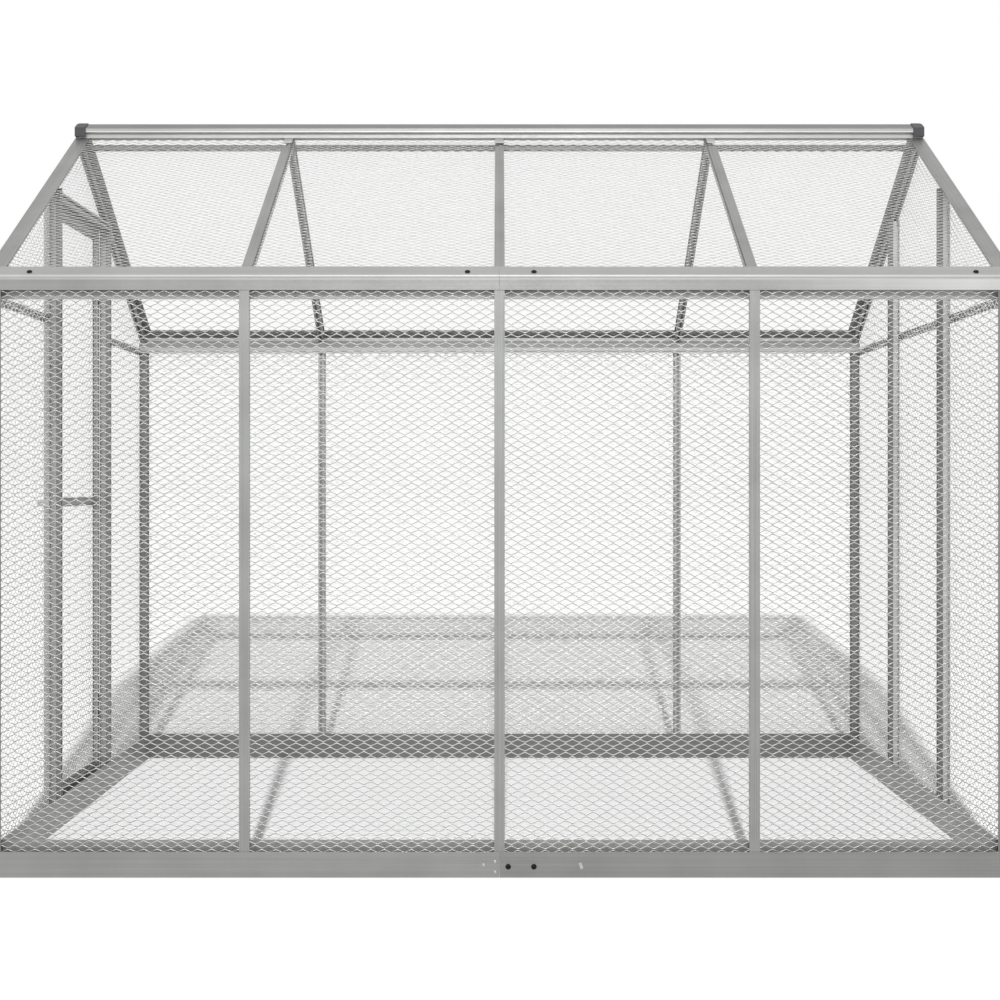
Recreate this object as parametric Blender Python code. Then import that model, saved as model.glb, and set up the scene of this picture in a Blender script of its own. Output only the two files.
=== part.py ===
# Walk-in bird cage: an aluminium frame of extruded bars, a gable roof, diamond mesh on
# every side, and a hinged door with a slide bolt in the left gable.
# Metres. +X to the right, +Y to the back, +Z up. The origin is the middle of the
# frame's footprint, on the ground.
import math

import bmesh
import bpy
from mathutils import Matrix, Vector

# Overall frame
FRAME_WIDTH = 2.410
FRAME_DEPTH = 1.780
EAVE_HEIGHT = 1.406
ROOF_PITCH = math.radians(29.4)
BAYS_WIDE = 4
BAYS_DEEP = 3

# Clearance between pieces that seat on each other
GAP = 0.0003

# Drawing fineness
WELD_DISTANCE = 0.00001
FLAT_ANGLE = 0.01
ROD_SIDES = 20

# Wall studs and rafters: a face flange, a web and an inner bolt channel
BAR_FACE = 0.0243
BAR_DEPTH = 0.031
BAR_WALL = 0.002
WEB_THICKNESS = 0.0022
GROOVE_DEPTH = 0.015
CHANNEL_WIDTH = 0.0195
CHANNEL_WALL = 0.0018
CHANNEL_MOUTH = 0.0072
FLANGE_TAPER = 0.0003
WINDOW_ROOT = 0.0001

# Corner posts
POST_FACE = 0.040
POST_BACK_FACE = 0.0263
POST_SIDE = 0.031
POST_TUBE = 0.023

# Base and eave rails
RAIL_WALL = 0.002
BASE_FACE_HEIGHT = 0.059
BASE_INNER_HEIGHT = 0.081
BASE_SHELF = 0.040
BASE_TOE = 0.008
EAVE_FACE_DROP = 0.037
EAVE_LIP_DROP = 0.055
EAVE_BRIDGE_DROP = 0.0265
EAVE_BEAD_HEIGHT = 0.010
EAVE_BEAD_PROUD = 0.003
BEAD_STEPS = 6
EAVE_HEM = 0.003
EAVE_HEM_HEIGHT = 0.008
EAVE_FLANGE_RUN = 0.040

# Ridge, its end caps and the bar behind it
RIDGE_HEIGHT = 0.0338
RIDGE_BOX_RUN = 0.016
RIDGE_WING_RUN = 0.030
RIDGE_LIP = 0.012
CAP_WALL = 0.0022
CAP_CLEARANCE = 0.0006
CAP_LENGTH = 0.031
CAP_ROUND = 0.008
CAP_STEPS = 5
CAP_SKIRT = 0.0065
RIDGE_END_SET_IN = 0.007
RIDGE_BAR_SETBACK = 0.050
RIDGE_BAR_HEIGHT = 0.013
RIDGE_BAR_FOOT = 0.009
FACE_CROP_FAR = 0.073
FACE_CROP_NEAR = 0.0135

# Ties at eave height on the gables
TIE_HEIGHT = 0.024
TIE_THICKNESS = 0.0017
TIE_BELOW_EAVE = 0.050
TIE_CHAMFER = 0.0005

# Diamond mesh, drawn coarse: the real diamonds are 32 mm by 20 mm
NET_THICKNESS = 0.0018
NET_EDGE = 0.010
NET_TOP_ROOM = 0.004
NET_STRAND = 0.005
NET_SPECK = 0.0005
SMALLEST_GAP_AREA = 0.0004

# Door
HEADER_FACE = 0.0243
HEADER_BELOW_RAFTERS = 0.0056
DOOR_LAP = 0.010
DOOR_STAND_OFF = 0.001
DOOR_DEPTH = 0.014
DOOR_WALL = 0.0016
DOOR_STILE = 0.025
DOOR_END_RAIL = 0.040
DOOR_MID_RAIL = 0.025
DOOR_MID_RAIL_Z = 0.865
DOOR_LIP = 0.007
DOOR_GROOVE = 0.0034
DOOR_BOTTOM_Z = 0.045
DOOR_EDGE_ROOM = 0.002

# Door hinges
HINGE_LENGTH = 0.070
HINGE_FROM_END = 0.200
HINGE_PLATE = 0.002
HINGE_BARREL_RADIUS = 0.005
HINGE_PIN_RADIUS = 0.0026
HINGE_LEAF_WIDTH = 0.020
HINGE_EDGE_GAP = 0.0006

# Slide bolt
BOLT_RADIUS = 0.004
BOLT_LENGTH = 0.085
BOLT_CLEARANCE = 0.0003
KEEPER_CLEARANCE = 0.0007
LATCH_PLATE = 0.002
LATCH_PLATE_LENGTH = 0.080
LATCH_PLATE_HEIGHT = 0.024
LATCH_EAR_LENGTH = 0.010
LATCH_EAR_HEIGHT = 0.014
BOLT_STANDS_OFF = 0.006
KNOB_RADIUS = 0.0045
KNOB_LENGTH = 0.012
KNOB_SHARE = 0.62
KEEPER_THICKNESS = 0.006
KEEPER_HEIGHT = 0.018
KEEPER_FOOT_HEIGHT = 0.040

# Worked out from the sizes above
TAN = math.tan(ROOF_PITCH)
COS = math.cos(ROOF_PITCH)
SIN = math.sin(ROOF_PITCH)
BAR_SET_IN = RAIL_WALL + GAP
RAIL_INNER = BAR_SET_IN + BAR_DEPTH + GAP
RAIL_DEPTH = RAIL_INNER + RAIL_WALL
GRID_LINE = BAR_SET_IN + BAR_FACE / 2
PITCH_WIDE = (FRAME_WIDTH - 2 * GRID_LINE) / BAYS_WIDE
PITCH_DEEP = (FRAME_DEPTH - 2 * GRID_LINE) / BAYS_DEEP
STUD_FOOT_Z = BASE_SHELF + GAP
STUD_HEAD_Z = EAVE_HEIGHT - EAVE_BRIDGE_DROP - GAP
RAFTER_FACE_Z = EAVE_HEIGHT - (RAIL_WALL + GAP) / COS
LIP_TOP_Z = RAFTER_FACE_Z + RAIL_INNER * TAN - BAR_DEPTH / COS - GAP
BRIDGE_TOP_Z = EAVE_HEIGHT - EAVE_BRIDGE_DROP + RAIL_WALL
RAFTER_FOOT = (BRIDGE_TOP_Z + GAP + BAR_DEPTH / COS - RAFTER_FACE_Z) / TAN
RIDGE_LINE = FRAME_DEPTH / 2
RIDGE_SEAT_Z = RAFTER_FACE_Z + RIDGE_LINE * TAN + GAP / COS
NET_SET_IN = BAR_WALL + GAP
WEB_ROOM = WEB_THICKNESS / 2 + GAP
NET_TOP_SETBACK = FACE_CROP_NEAR + NET_TOP_ROOM
DOORWAY = PITCH_DEEP - BAR_FACE
HEADER_REACH = GRID_LINE + PITCH_DEEP + WEB_ROOM
HEADER_TOP_Z = RAFTER_FACE_Z + HEADER_REACH * TAN - BAR_DEPTH / COS - HEADER_BELOW_RAFTERS
HEADER_BOTTOM_Z = HEADER_TOP_Z - HEADER_FACE
DOOR_TOP_Z = HEADER_BOTTOM_Z + DOOR_LAP
DOOR_INNER_X = -(FRAME_WIDTH / 2 + DOOR_STAND_OFF)
DOOR_OUTER_X = DOOR_INNER_X - DOOR_DEPTH
DOOR_HALF = DOORWAY / 2 + DOOR_LAP
GABLE_FACE_X = -(FRAME_WIDTH / 2 - BAR_SET_IN)
STUD_FREE_Y = DOOR_HALF + DOOR_EDGE_ROOM
STUD_OUTER_Y = DOORWAY / 2 + BAR_FACE

X = Vector((1, 0, 0))
Y = Vector((0, 1, 0))
Z = Vector((0, 0, 1))

for old in list(bpy.data.objects):
    bpy.data.objects.remove(old, do_unlink=True)

parts = bpy.data.collections.new("bird_cage")
cutters = bpy.data.collections.new("cutters")
bpy.context.scene.collection.children.link(parts)
bpy.context.scene.collection.children.link(cutters)


def make_material(name, colour, metallic, roughness):
    made = bpy.data.materials.new(name)
    made.use_nodes = True
    shader = made.node_tree.nodes["Principled BSDF"]
    shader.inputs["Base Color"].default_value = (*colour, 1.0)
    shader.inputs["Metallic"].default_value = metallic
    shader.inputs["Roughness"].default_value = roughness
    made.diffuse_color = (*colour, 1.0)
    return made


# Looks: base colour, metallic, roughness
ALUMINIUM = ((0.42, 0.43, 0.41), 0.9, 0.42)
GALVANISED = ((0.50, 0.51, 0.49), 0.9, 0.50)
PLASTIC = ((0.030, 0.031, 0.034), 0.0, 0.45)
STEEL = ((0.55, 0.55, 0.54), 1.0, 0.35)


# Solids from flat outlines
def outline_solid(name, rings, thickness, whole_ends=False):
    """Fill a flat outline and its holes, thicken it from z 0 upwards, return the mesh object.
    A whole end face is one polygon, or a few round a hole."""
    curve = bpy.data.curves.new(name + "_outline", "CURVE")
    curve.dimensions = "2D"
    curve.fill_mode = "BOTH"
    curve.extrude = thickness / 2
    for ring in rings:
        spline = curve.splines.new("POLY")
        spline.points.add(len(ring) - 1)
        for point, (u, v) in zip(spline.points, ring):
            point.co = (u, v, 0, 1)
        spline.use_cyclic_u = True
    drawn = bpy.data.objects.new(name + "_outline", curve)
    parts.objects.link(drawn)
    bpy.context.view_layer.update()
    evaluated = drawn.evaluated_get(bpy.context.evaluated_depsgraph_get())
    mesh = bpy.data.meshes.new_from_object(evaluated)
    mesh.name = name
    bpy.data.objects.remove(drawn, do_unlink=True)
    bpy.data.curves.remove(curve)
    shape = bmesh.new()
    shape.from_mesh(mesh)
    bmesh.ops.remove_doubles(shape, verts=shape.verts, dist=WELD_DISTANCE)
    bmesh.ops.translate(shape, verts=shape.verts, vec=(0, 0, thickness / 2))
    if whole_ends:
        bmesh.ops.dissolve_limit(shape, angle_limit=FLAT_ANGLE, verts=shape.verts, edges=shape.edges)
    bmesh.ops.recalc_face_normals(shape, faces=shape.faces)
    shape.to_mesh(mesh)
    shape.free()
    made = bpy.data.objects.new(name, mesh)
    parts.objects.link(made)
    return made


def axes_matrix(origin, u_axis, v_axis):
    along = u_axis.cross(v_axis)
    turned = Matrix((u_axis, v_axis, along)).transposed().to_4x4()
    return Matrix.Translation(origin) @ turned


def finish(made, look):
    name = made.name + "_finish"
    made.data.materials.clear()
    made.data.materials.append(make_material(name, *look))
    return made


def bar(name, rings, origin, u_axis, v_axis, start, end, look):
    """Extrude a section along u_axis x v_axis. start and end are distances along it, or
    functions of a section point (u, v) for a sloping or mitred end."""
    made = outline_solid(name, rings, 1.0, whole_ends=True)
    for vertex in made.data.vertices:
        u, v, along = vertex.co
        limit = end if along > 0.5 else start
        vertex.co.z = limit(u, v) if callable(limit) else limit
    made.matrix_world = axes_matrix(origin, u_axis, v_axis)
    return finish(made, look)


def slab(name, rings, origin, u_axis, v_axis, thickness, look):
    """A flat sheet whose outline lies in u_axis, v_axis, thickened along their cross product."""
    made = outline_solid(name, rings, thickness)
    made.matrix_world = axes_matrix(origin, u_axis, v_axis)
    return finish(made, look)


# Cutting and joining
def set_as_cutter(tool):
    for owner in list(tool.users_collection):
        owner.objects.unlink(tool)
    cutters.objects.link(tool)
    tool.hide_render = True
    tool.display_type = "WIRE"


def combine(target, tool, operation):
    change = target.modifiers.new(operation.title(), "BOOLEAN")
    change.operation = operation
    change.solver = "EXACT"
    change.object = tool
    set_as_cutter(tool)


def box_tool(name, low, high, matrix=None):
    bpy.ops.mesh.primitive_cube_add(size=1)
    tool = bpy.context.active_object
    tool.name = name
    low = Vector(low)
    high = Vector(high)
    tool.data.transform(Matrix.Diagonal((*(high - low), 1)))
    tool.data.transform(Matrix.Translation((low + high) / 2))
    if matrix is not None:
        tool.matrix_world = matrix
    return tool


def rod_tool(name, radius, start, end):
    start = Vector(start)
    end = Vector(end)
    length = (end - start).length
    bpy.ops.mesh.primitive_cylinder_add(vertices=ROD_SIDES, radius=radius, depth=length)
    tool = bpy.context.active_object
    tool.name = name
    turn = Z.rotation_difference((end - start).normalized()).to_matrix().to_4x4()
    tool.matrix_world = Matrix.Translation((start + end) / 2) @ turn
    return tool


def keep(tool, name, look):
    for owner in list(tool.users_collection):
        owner.objects.unlink(tool)
    parts.objects.link(tool)
    tool.name = name
    tool.data.name = name
    return finish(tool, look)


# Walls: a corner, the way in, and the way along, counter-clockwise from above
HALF_W = FRAME_WIDTH / 2
HALF_D = FRAME_DEPTH / 2
WALLS = {
    "front": (Vector((-HALF_W, -HALF_D, 0)), Y, X, FRAME_WIDTH),
    "right": (Vector((HALF_W, -HALF_D, 0)), -X, Y, FRAME_DEPTH),
    "back": (Vector((HALF_W, HALF_D, 0)), -Y, -X, FRAME_WIDTH),
    "left": (Vector((-HALF_W, HALF_D, 0)), X, -Y, FRAME_DEPTH),
}


# Sections
def bar_section(face=BAR_FACE, extra=0):
    """Face flange at v 0, web, and a bolt channel that opens inwards at v BAR_DEPTH.
    The extra widens the flange on one side, towards u if it is positive."""
    flange = face / 2
    web = WEB_THICKNESS / 2
    side = CHANNEL_WIDTH / 2
    mouth = CHANNEL_MOUTH / 2
    top = BAR_WALL + GROOVE_DEPTH
    inside = side - CHANNEL_WALL
    half = [
        (flange, 0),
        (flange, BAR_WALL - FLANGE_TAPER),
        (web, BAR_WALL),
        (web, top),
        (side, top + FLANGE_TAPER),
        (side, BAR_DEPTH),
        (mouth, BAR_DEPTH),
        (mouth, BAR_DEPTH - CHANNEL_WALL),
        (inside, BAR_DEPTH - CHANNEL_WALL),
        (inside, top + CHANNEL_WALL),
    ]
    ring = half + [(-u, v) for u, v in reversed(half)]
    return [[(u + extra if v < BAR_WALL and u * extra > 0 else u, v) for u, v in ring]]


def post_section(along_u, along_v):
    """Corner post: two face flanges round a square tube, with the outer corner at 0, 0."""
    tube = POST_TUBE
    wall = BAR_WALL
    outer = [
        (0, 0),
        (along_u, 0),
        (along_u, wall),
        (tube, wall),
        (tube, tube),
        (wall, tube),
        (wall, along_v),
        (0, along_v),
    ]
    inner = [(wall, wall), (tube - wall, wall), (tube - wall, tube - wall), (wall, tube - wall)]
    return [outer, inner]


def base_section():
    """Base rail: u inwards from the outer face, v up. Open below, with a shelf for the studs."""
    wall = RAIL_WALL
    under = BASE_SHELF - wall
    return [[
        (0, 0),
        (BASE_TOE, 0),
        (BASE_TOE, wall),
        (wall, wall),
        (wall, under),
        (RAIL_INNER, under),
        (RAIL_INNER, wall),
        (RAIL_DEPTH - BASE_TOE, wall),
        (RAIL_DEPTH - BASE_TOE, 0),
        (RAIL_DEPTH, 0),
        (RAIL_DEPTH, BASE_INNER_HEIGHT),
        (RAIL_INNER, BASE_INNER_HEIGHT),
        (RAIL_INNER, BASE_SHELF),
        (wall, BASE_SHELF),
        (wall, BASE_FACE_HEIGHT),
        (0, BASE_FACE_HEIGHT),
    ]]


def eave_section():
    """Eave rail: u inwards from the outer face, v up from the ground."""
    wall = RAIL_WALL
    skin = wall / COS
    top = EAVE_HEIGHT
    bridge = top - EAVE_BRIDGE_DROP
    lip = top - EAVE_LIP_DROP
    bead_middle = top - EAVE_BEAD_HEIGHT / 2
    bead = []
    for step in range(1, BEAD_STEPS):
        turn = math.pi * step / BEAD_STEPS
        proud = EAVE_BEAD_PROUD * math.sin(turn)
        bead.append((-proud, bead_middle - EAVE_BEAD_HEIGHT / 2 * math.cos(turn)))
    return [[
        (0, top - EAVE_FACE_DROP),
        (0, top - EAVE_BEAD_HEIGHT),
        *bead,
        (0, top),
        (EAVE_FLANGE_RUN, top + EAVE_FLANGE_RUN * TAN),
        (EAVE_FLANGE_RUN, top + EAVE_FLANGE_RUN * TAN - skin),
        (wall, top + wall * TAN - skin),
        (wall, bridge + wall),
        (RAIL_INNER, bridge + wall),
        (RAIL_INNER, LIP_TOP_Z),
        (RAIL_DEPTH, LIP_TOP_Z),
        (RAIL_DEPTH, lip + EAVE_HEM_HEIGHT),
        (RAIL_DEPTH + EAVE_HEM, lip + EAVE_HEM_HEIGHT - EAVE_HEM),
        (RAIL_DEPTH + EAVE_HEM, lip),
        (RAIL_INNER, lip),
        (RAIL_INNER, bridge),
        (wall, bridge),
        (wall, top - EAVE_FACE_DROP),
    ]]


def ridge_section():
    """Ridge: u across the roof, v up from the peak of the rafters' faces. A box with wings."""
    skin = RAIL_WALL / COS
    height = RIDGE_HEIGHT
    box = RIDGE_BOX_RUN
    inside = box - RAIL_WALL
    under = RIDGE_WING_RUN - RAIL_WALL
    wing_end = height - RIDGE_WING_RUN * TAN
    half = [
        (box, -box * TAN),
        (box, height - skin - box * TAN),
        (under, height - skin - under * TAN),
        (under, wing_end - RIDGE_LIP),
        (RIDGE_WING_RUN, wing_end - RIDGE_LIP),
        (RIDGE_WING_RUN, wing_end),
    ]
    outer = [(0, 0)] + half + [(0, height)] + [(-u, v) for u, v in reversed(half)]
    low, high = skin - inside * TAN, height - skin - inside * TAN
    inner = [(0, skin), (inside, low), (inside, high)]
    inner += [(0, height - skin), (-inside, high), (-inside, low)]
    return [outer, inner]


def cap_outline(shrink, bottom_drop):
    """Outline of the ridge end cap, which follows the ridge's wings, with a notch that fits
    the peak."""
    half_width = RIDGE_WING_RUN + CAP_CLEARANCE + CAP_WALL - shrink
    top = RIDGE_HEIGHT + CAP_CLEARANCE + CAP_WALL - shrink
    step_in = (CAP_SKIRT + CAP_CLEARANCE) / TAN
    half = [
        (step_in, -CAP_SKIRT - bottom_drop),
        (half_width, -CAP_SKIRT - bottom_drop),
        (half_width, top - half_width * TAN),
    ]
    middle = CAP_CLEARANCE - bottom_drop
    return [[(0, middle)] + half + [(0, top)] + [(-u, v) for u, v in reversed(half)]]


def door_section(width, lips=1):
    """Door frame bar: u across, v inwards from the outer face. A square tube with a grooved
    edge for the mesh, on one side (lips 1) or both (lips 2)."""
    outer_lip = DOOR_WALL
    inner_lip = DOOR_WALL + DOOR_GROOVE
    low = DOOR_LIP if lips == 2 else 0
    high = width - DOOR_LIP
    grooved = [
        (width, 0),
        (width, outer_lip),
        (high, outer_lip),
        (high, inner_lip),
        (width, inner_lip),
        (width, inner_lip + DOOR_WALL),
        (high, inner_lip + DOOR_WALL),
        (high, DOOR_DEPTH),
    ]
    if lips == 2:
        outer = grooved + [(width - u, v) for u, v in reversed(grooved)]
    else:
        outer = grooved + [(0, DOOR_DEPTH), (0, 0)]
    inner = [
        (low + DOOR_WALL, DOOR_WALL),
        (high - DOOR_WALL, DOOR_WALL),
        (high - DOOR_WALL, DOOR_DEPTH - DOOR_WALL),
        (low + DOOR_WALL, DOOR_DEPTH - DOOR_WALL),
    ]
    return [outer, inner]


def tie_section():
    half = TIE_HEIGHT / 2
    chamfer = TIE_CHAMFER
    return [[
        (-half, 0),
        (half, 0),
        (half, TIE_THICKNESS - chamfer),
        (half - chamfer, TIE_THICKNESS),
        (-half + chamfer, TIE_THICKNESS),
        (-half, TIE_THICKNESS - chamfer),
    ]]


# Base rails: a mitred ring, the front one in two lengths
def mitre_start(u, v):
    return u + GAP / 2


def base_rail(name, side, start=None, end=None):
    corner, inward, along, length = WALLS[side]
    first = mitre_start if start is None else start
    last = (lambda u, v: length - u - GAP / 2) if end is None else end
    return bar(name, base_section(), corner, inward, Z, first, last, ALUMINIUM)


base_rail("base_front_left", "front", end=FRAME_WIDTH / 2 - GAP / 2)
base_rail("base_front_right", "front", start=FRAME_WIDTH / 2 + GAP / 2)
base_rail("base_back", "back")
base_rail("base_right", "right")
base_rail("base_left", "left")


# Corner posts
def corner_post(name, side, u_length, v_length):
    corner, inward, along, length = WALLS[side]
    origin = corner + inward * BAR_SET_IN + along * BAR_SET_IN
    section = post_section(u_length, v_length)
    return bar(name, section, origin, along, inward, STUD_FOOT_Z, STUD_HEAD_Z, ALUMINIUM)


corner_post("post_front_left", "front", POST_FACE, POST_SIDE)
corner_post("post_front_right", "right", POST_SIDE, POST_FACE)
corner_post("post_back_right", "back", POST_BACK_FACE, POST_SIDE)
corner_post("post_back_left", "left", POST_SIDE, POST_BACK_FACE)


# Rafter planes, measured by h, the level distance in from the nearer eave's face
def rafter_under(h):
    return RAFTER_FACE_Z + h * TAN - BAR_DEPTH / COS


def eave_distance(s):
    return min(s, FRAME_DEPTH - s)


# Studs
def web_window(owner, start, end):
    """Opening in the web just behind the face flange, for the edge strip of the mesh."""
    half = WEB_THICKNESS
    tool = box_tool(
        owner.name + "_window",
        (-half, BAR_WALL + WINDOW_ROOT, start),
        (half, NET_SET_IN + NET_THICKNESS + GAP, end),
        owner.matrix_world,
    )
    combine(owner, tool, "DIFFERENCE")


def wall_stud(name, side, s):
    corner, inward, along, length = WALLS[side]
    origin = corner + inward * BAR_SET_IN + along * s
    made = bar(name, bar_section(), origin, along, inward, STUD_FOOT_Z, STUD_HEAD_Z, ALUMINIUM)
    web_window(made, STUD_FOOT_Z - NET_EDGE, STUD_FOOT_Z + NET_EDGE + 2 * GAP)
    web_window(made, STUD_HEAD_Z - NET_EDGE - 2 * GAP, STUD_HEAD_Z + NET_EDGE)
    return made


def gable_stud(name, side, s, windows):
    corner, inward, along, length = WALLS[side]
    origin = corner + inward * BAR_SET_IN + along * s

    def head(u, v):
        return rafter_under(eave_distance(s + u)) - GAP / COS

    made = bar(name, bar_section(), origin, along, inward, STUD_FOOT_Z, head, ALUMINIUM)
    if windows:
        top = head(0, 0)
        reach = NET_EDGE / COS + 2 * WEB_THICKNESS
        web_window(made, STUD_FOOT_Z - NET_EDGE, STUD_FOOT_Z + NET_EDGE + 2 * GAP)
        web_window(made, top - reach, top + reach)
    return made


for index in range(1, BAYS_WIDE):
    wall_stud(f"stud_front_{index}", "front", GRID_LINE + index * PITCH_WIDE)
for index in range(1, BAYS_WIDE):
    wall_stud(f"stud_back_{index}", "back", GRID_LINE + index * PITCH_WIDE)
for index in range(1, BAYS_DEEP):
    gable_stud(f"stud_right_{index}", "right", GRID_LINE + index * PITCH_DEEP, True)
gable_stud("stud_door_hinge_side", "left", GRID_LINE + PITCH_DEEP, False)
gable_stud("stud_door_latch_side", "left", GRID_LINE + 2 * PITCH_DEEP, False)


# Eave rails, the front one in two lengths, all cut flush with the gable bars
def eave_rail(name, side, start, end):
    corner, inward, along, length = WALLS[side]
    return bar(name, eave_section(), corner, inward, Z, start, end, ALUMINIUM)


eave_rail("eave_front_left", "front", BAR_SET_IN, FRAME_WIDTH / 2 - GAP / 2)
eave_rail("eave_front_right", "front", FRAME_WIDTH / 2 + GAP / 2, FRAME_WIDTH - BAR_SET_IN)
eave_rail("eave_back", "back", BAR_SET_IN, FRAME_WIDTH - BAR_SET_IN)


# Rafters: plumb cuts at foot and head, so the cut's place along the slope depends on depth
def slope_axes(side):
    corner, inward, along, length = WALLS[side]
    up_slope = inward * COS + Z * SIN
    into = inward * SIN - Z * COS
    origin = corner + Z * RAFTER_FACE_Z
    return origin, along, into, up_slope


def rafter(name, side, index):
    origin, along, into, up_slope = slope_axes(side)
    extra = {0: POST_FACE - BAR_FACE, BAYS_WIDE: BAR_FACE - POST_FACE}.get(index, 0)
    section = bar_section(extra=extra)
    start = origin + along * (GRID_LINE + index * PITCH_WIDE)

    def foot(u, v):
        return (RAFTER_FOOT - v * SIN) / COS

    def head(u, v):
        return (RIDGE_LINE - GAP / 2 - v * SIN) / COS

    made = bar(name, section, start, along, into, foot, head, ALUMINIUM)
    low = RAFTER_FOOT / COS
    high = (RIDGE_LINE - NET_TOP_SETBACK) / COS
    web_window(made, low - NET_EDGE, low + NET_EDGE + 2 * GAP)
    web_window(made, high - NET_EDGE - 2 * GAP, high + 2 * GAP)
    if side == "front" and 0 < index < BAYS_WIDE:
        tool = box_tool(
            name + "_face_crop",
            (-BAR_FACE, -BAR_WALL, (RIDGE_LINE - FACE_CROP_FAR) / COS),
            (BAR_FACE, BAR_WALL + 2 * WINDOW_ROOT, (RIDGE_LINE - FACE_CROP_NEAR) / COS),
            made.matrix_world,
        )
        combine(made, tool, "DIFFERENCE")
    return made


for index in range(BAYS_WIDE + 1):
    rafter(f"rafter_front_{index + 1}", "front", index)
for index in range(BAYS_WIDE + 1):
    rafter(f"rafter_back_{index + 1}", "back", index)


# Ridge and its end caps
seat = Vector((0, 0, RIDGE_SEAT_Z))
ridge_end = HALF_W - RIDGE_END_SET_IN
bar("ridge", ridge_section(), seat, Y, Z, -ridge_end, ridge_end, ALUMINIUM)


def ridge_cap(name, sign):
    outer_end = ridge_end + GAP + CAP_WALL
    inner_end = outer_end - CAP_LENGTH
    ends = sorted((sign * inner_end, sign * outer_end))
    made = bar(name, cap_outline(0, 0), seat, Y, Z, ends[0], ends[1], PLASTIC)
    hollow_ends = sorted((sign * (inner_end - CAP_LENGTH), sign * (ridge_end + GAP)))
    drop = 2 * CAP_WALL
    hollow = bar(name + "_hollow", cap_outline(CAP_WALL, drop), seat, Y, Z, *hollow_ends, PLASTIC)
    combine(made, hollow, "DIFFERENCE")
    corner = Vector((sign * outer_end, 0, seat.z + RIDGE_HEIGHT + CAP_CLEARANCE + CAP_WALL))
    rounding = [[(-CAP_WALL, CAP_WALL), (-CAP_WALL, -CAP_ROUND)]]
    for step in range(CAP_STEPS + 1):
        turn = math.pi / 2 * step / CAP_STEPS
        inwards = CAP_ROUND * (1 - math.cos(turn))
        rounding[0].append((inwards, CAP_ROUND * (math.sin(turn) - 1)))
    rounding[0].append((CAP_ROUND, CAP_WALL))
    reach = 2 * RIDGE_WING_RUN
    edge = bar(name + "_rounding", rounding, corner, -sign * X, Z, -reach, reach, PLASTIC)
    combine(made, edge, "DIFFERENCE")


ridge_cap("ridge_cap_left", -1)
ridge_cap("ridge_cap_right", 1)


# Angle bar along the back slope, just behind the ridge, lying on the rafters' faces
def ridge_bar_section():
    skin = RAIL_WALL / COS
    foot = RIDGE_BAR_FOOT * COS
    return [[
        (0, 0),
        (foot, -foot * TAN),
        (foot, skin - foot * TAN),
        (RAIL_WALL, skin - RAIL_WALL * TAN),
        (RAIL_WALL, RIDGE_BAR_HEIGHT),
        (0, RIDGE_BAR_HEIGHT),
    ]]


bar_origin = Vector((0, RIDGE_BAR_SETBACK, RIDGE_SEAT_Z - RIDGE_BAR_SETBACK * TAN))
bar_end = HALF_W - BAR_SET_IN
bar("ridge_bar", ridge_bar_section(), bar_origin, Y, Z, -bar_end, bar_end, ALUMINIUM)


# Ties: flat strips on the outside of the gable bars, at eave height, none across the doorway
def tie(name, side, start, end):
    corner, inward, along, length = WALLS[side]
    origin = corner + inward * (BAR_SET_IN - GAP) + Z * (EAVE_HEIGHT - TIE_BELOW_EAVE)
    return bar(name, tie_section(), origin, Z, -inward, start, end, ALUMINIUM)


tie_end = FRAME_DEPTH - BAR_SET_IN
tie("tie_right", "right", BAR_SET_IN, tie_end)
tie("tie_left_back", "left", BAR_SET_IN, RIDGE_LINE - STUD_FREE_Y)
tie("tie_left_front", "left", RIDGE_LINE + STUD_FREE_Y, tie_end)


# Header over the doorway, between the two door studs
header_origin = Vector((GABLE_FACE_X, 0, HEADER_TOP_Z - HEADER_FACE / 2))
bar(
    "door_header",
    bar_section(HEADER_FACE),
    header_origin,
    Z,
    X,
    -DOORWAY / 2 + GAP,
    DOORWAY / 2 - GAP,
    ALUMINIUM,
)


# Diamond mesh
def sides(polygon):
    return [(corner, polygon[(index + 1) % len(polygon)]) for index, corner in enumerate(polygon)]


def cut(polygon, start, end):
    """Keep the part of a convex polygon to the left of the line from start to end."""
    kept = []
    dx, dy = end[0] - start[0], end[1] - start[1]
    for (px, py), (qx, qy) in sides(polygon):
        p_side = dx * (py - start[1]) - dy * (px - start[0])
        q_side = dx * (qy - start[1]) - dy * (qx - start[0])
        if p_side >= 0:
            kept.append((px, py))
        if p_side * q_side < 0:
            share = p_side / (p_side - q_side)
            kept.append((px + share * (qx - px), py + share * (qy - py)))
    return kept


def clip(polygon, field):
    """Keep the part of a convex polygon inside a convex, counter-clockwise field."""
    for start, end in sides(field):
        polygon = cut(polygon, start, end)
    return polygon


def inset(field, distance):
    """Move each side of a convex, counter-clockwise field inwards."""
    kept = field
    for (ax, ay), (bx, by) in sides(field):
        length = math.hypot(bx - ax, by - ay)
        nx = -(by - ay) / length * distance
        ny = (bx - ax) / length * distance
        kept = cut(kept, (ax + nx, ay + ny), (bx + nx, by + ny))
    return kept


def area(polygon):
    return sum(px * qy - qx * py for (px, py), (qx, qy) in sides(polygon)) / 2


def tidy(polygon):
    """Drop corners that a clip left almost on top of each other."""
    kept = []
    for index, (px, py) in enumerate(polygon):
        qx, qy = polygon[index - 1]
        if math.hypot(px - qx, py - qy) > NET_SPECK:
            kept.append((px, py))
    return kept


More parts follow.
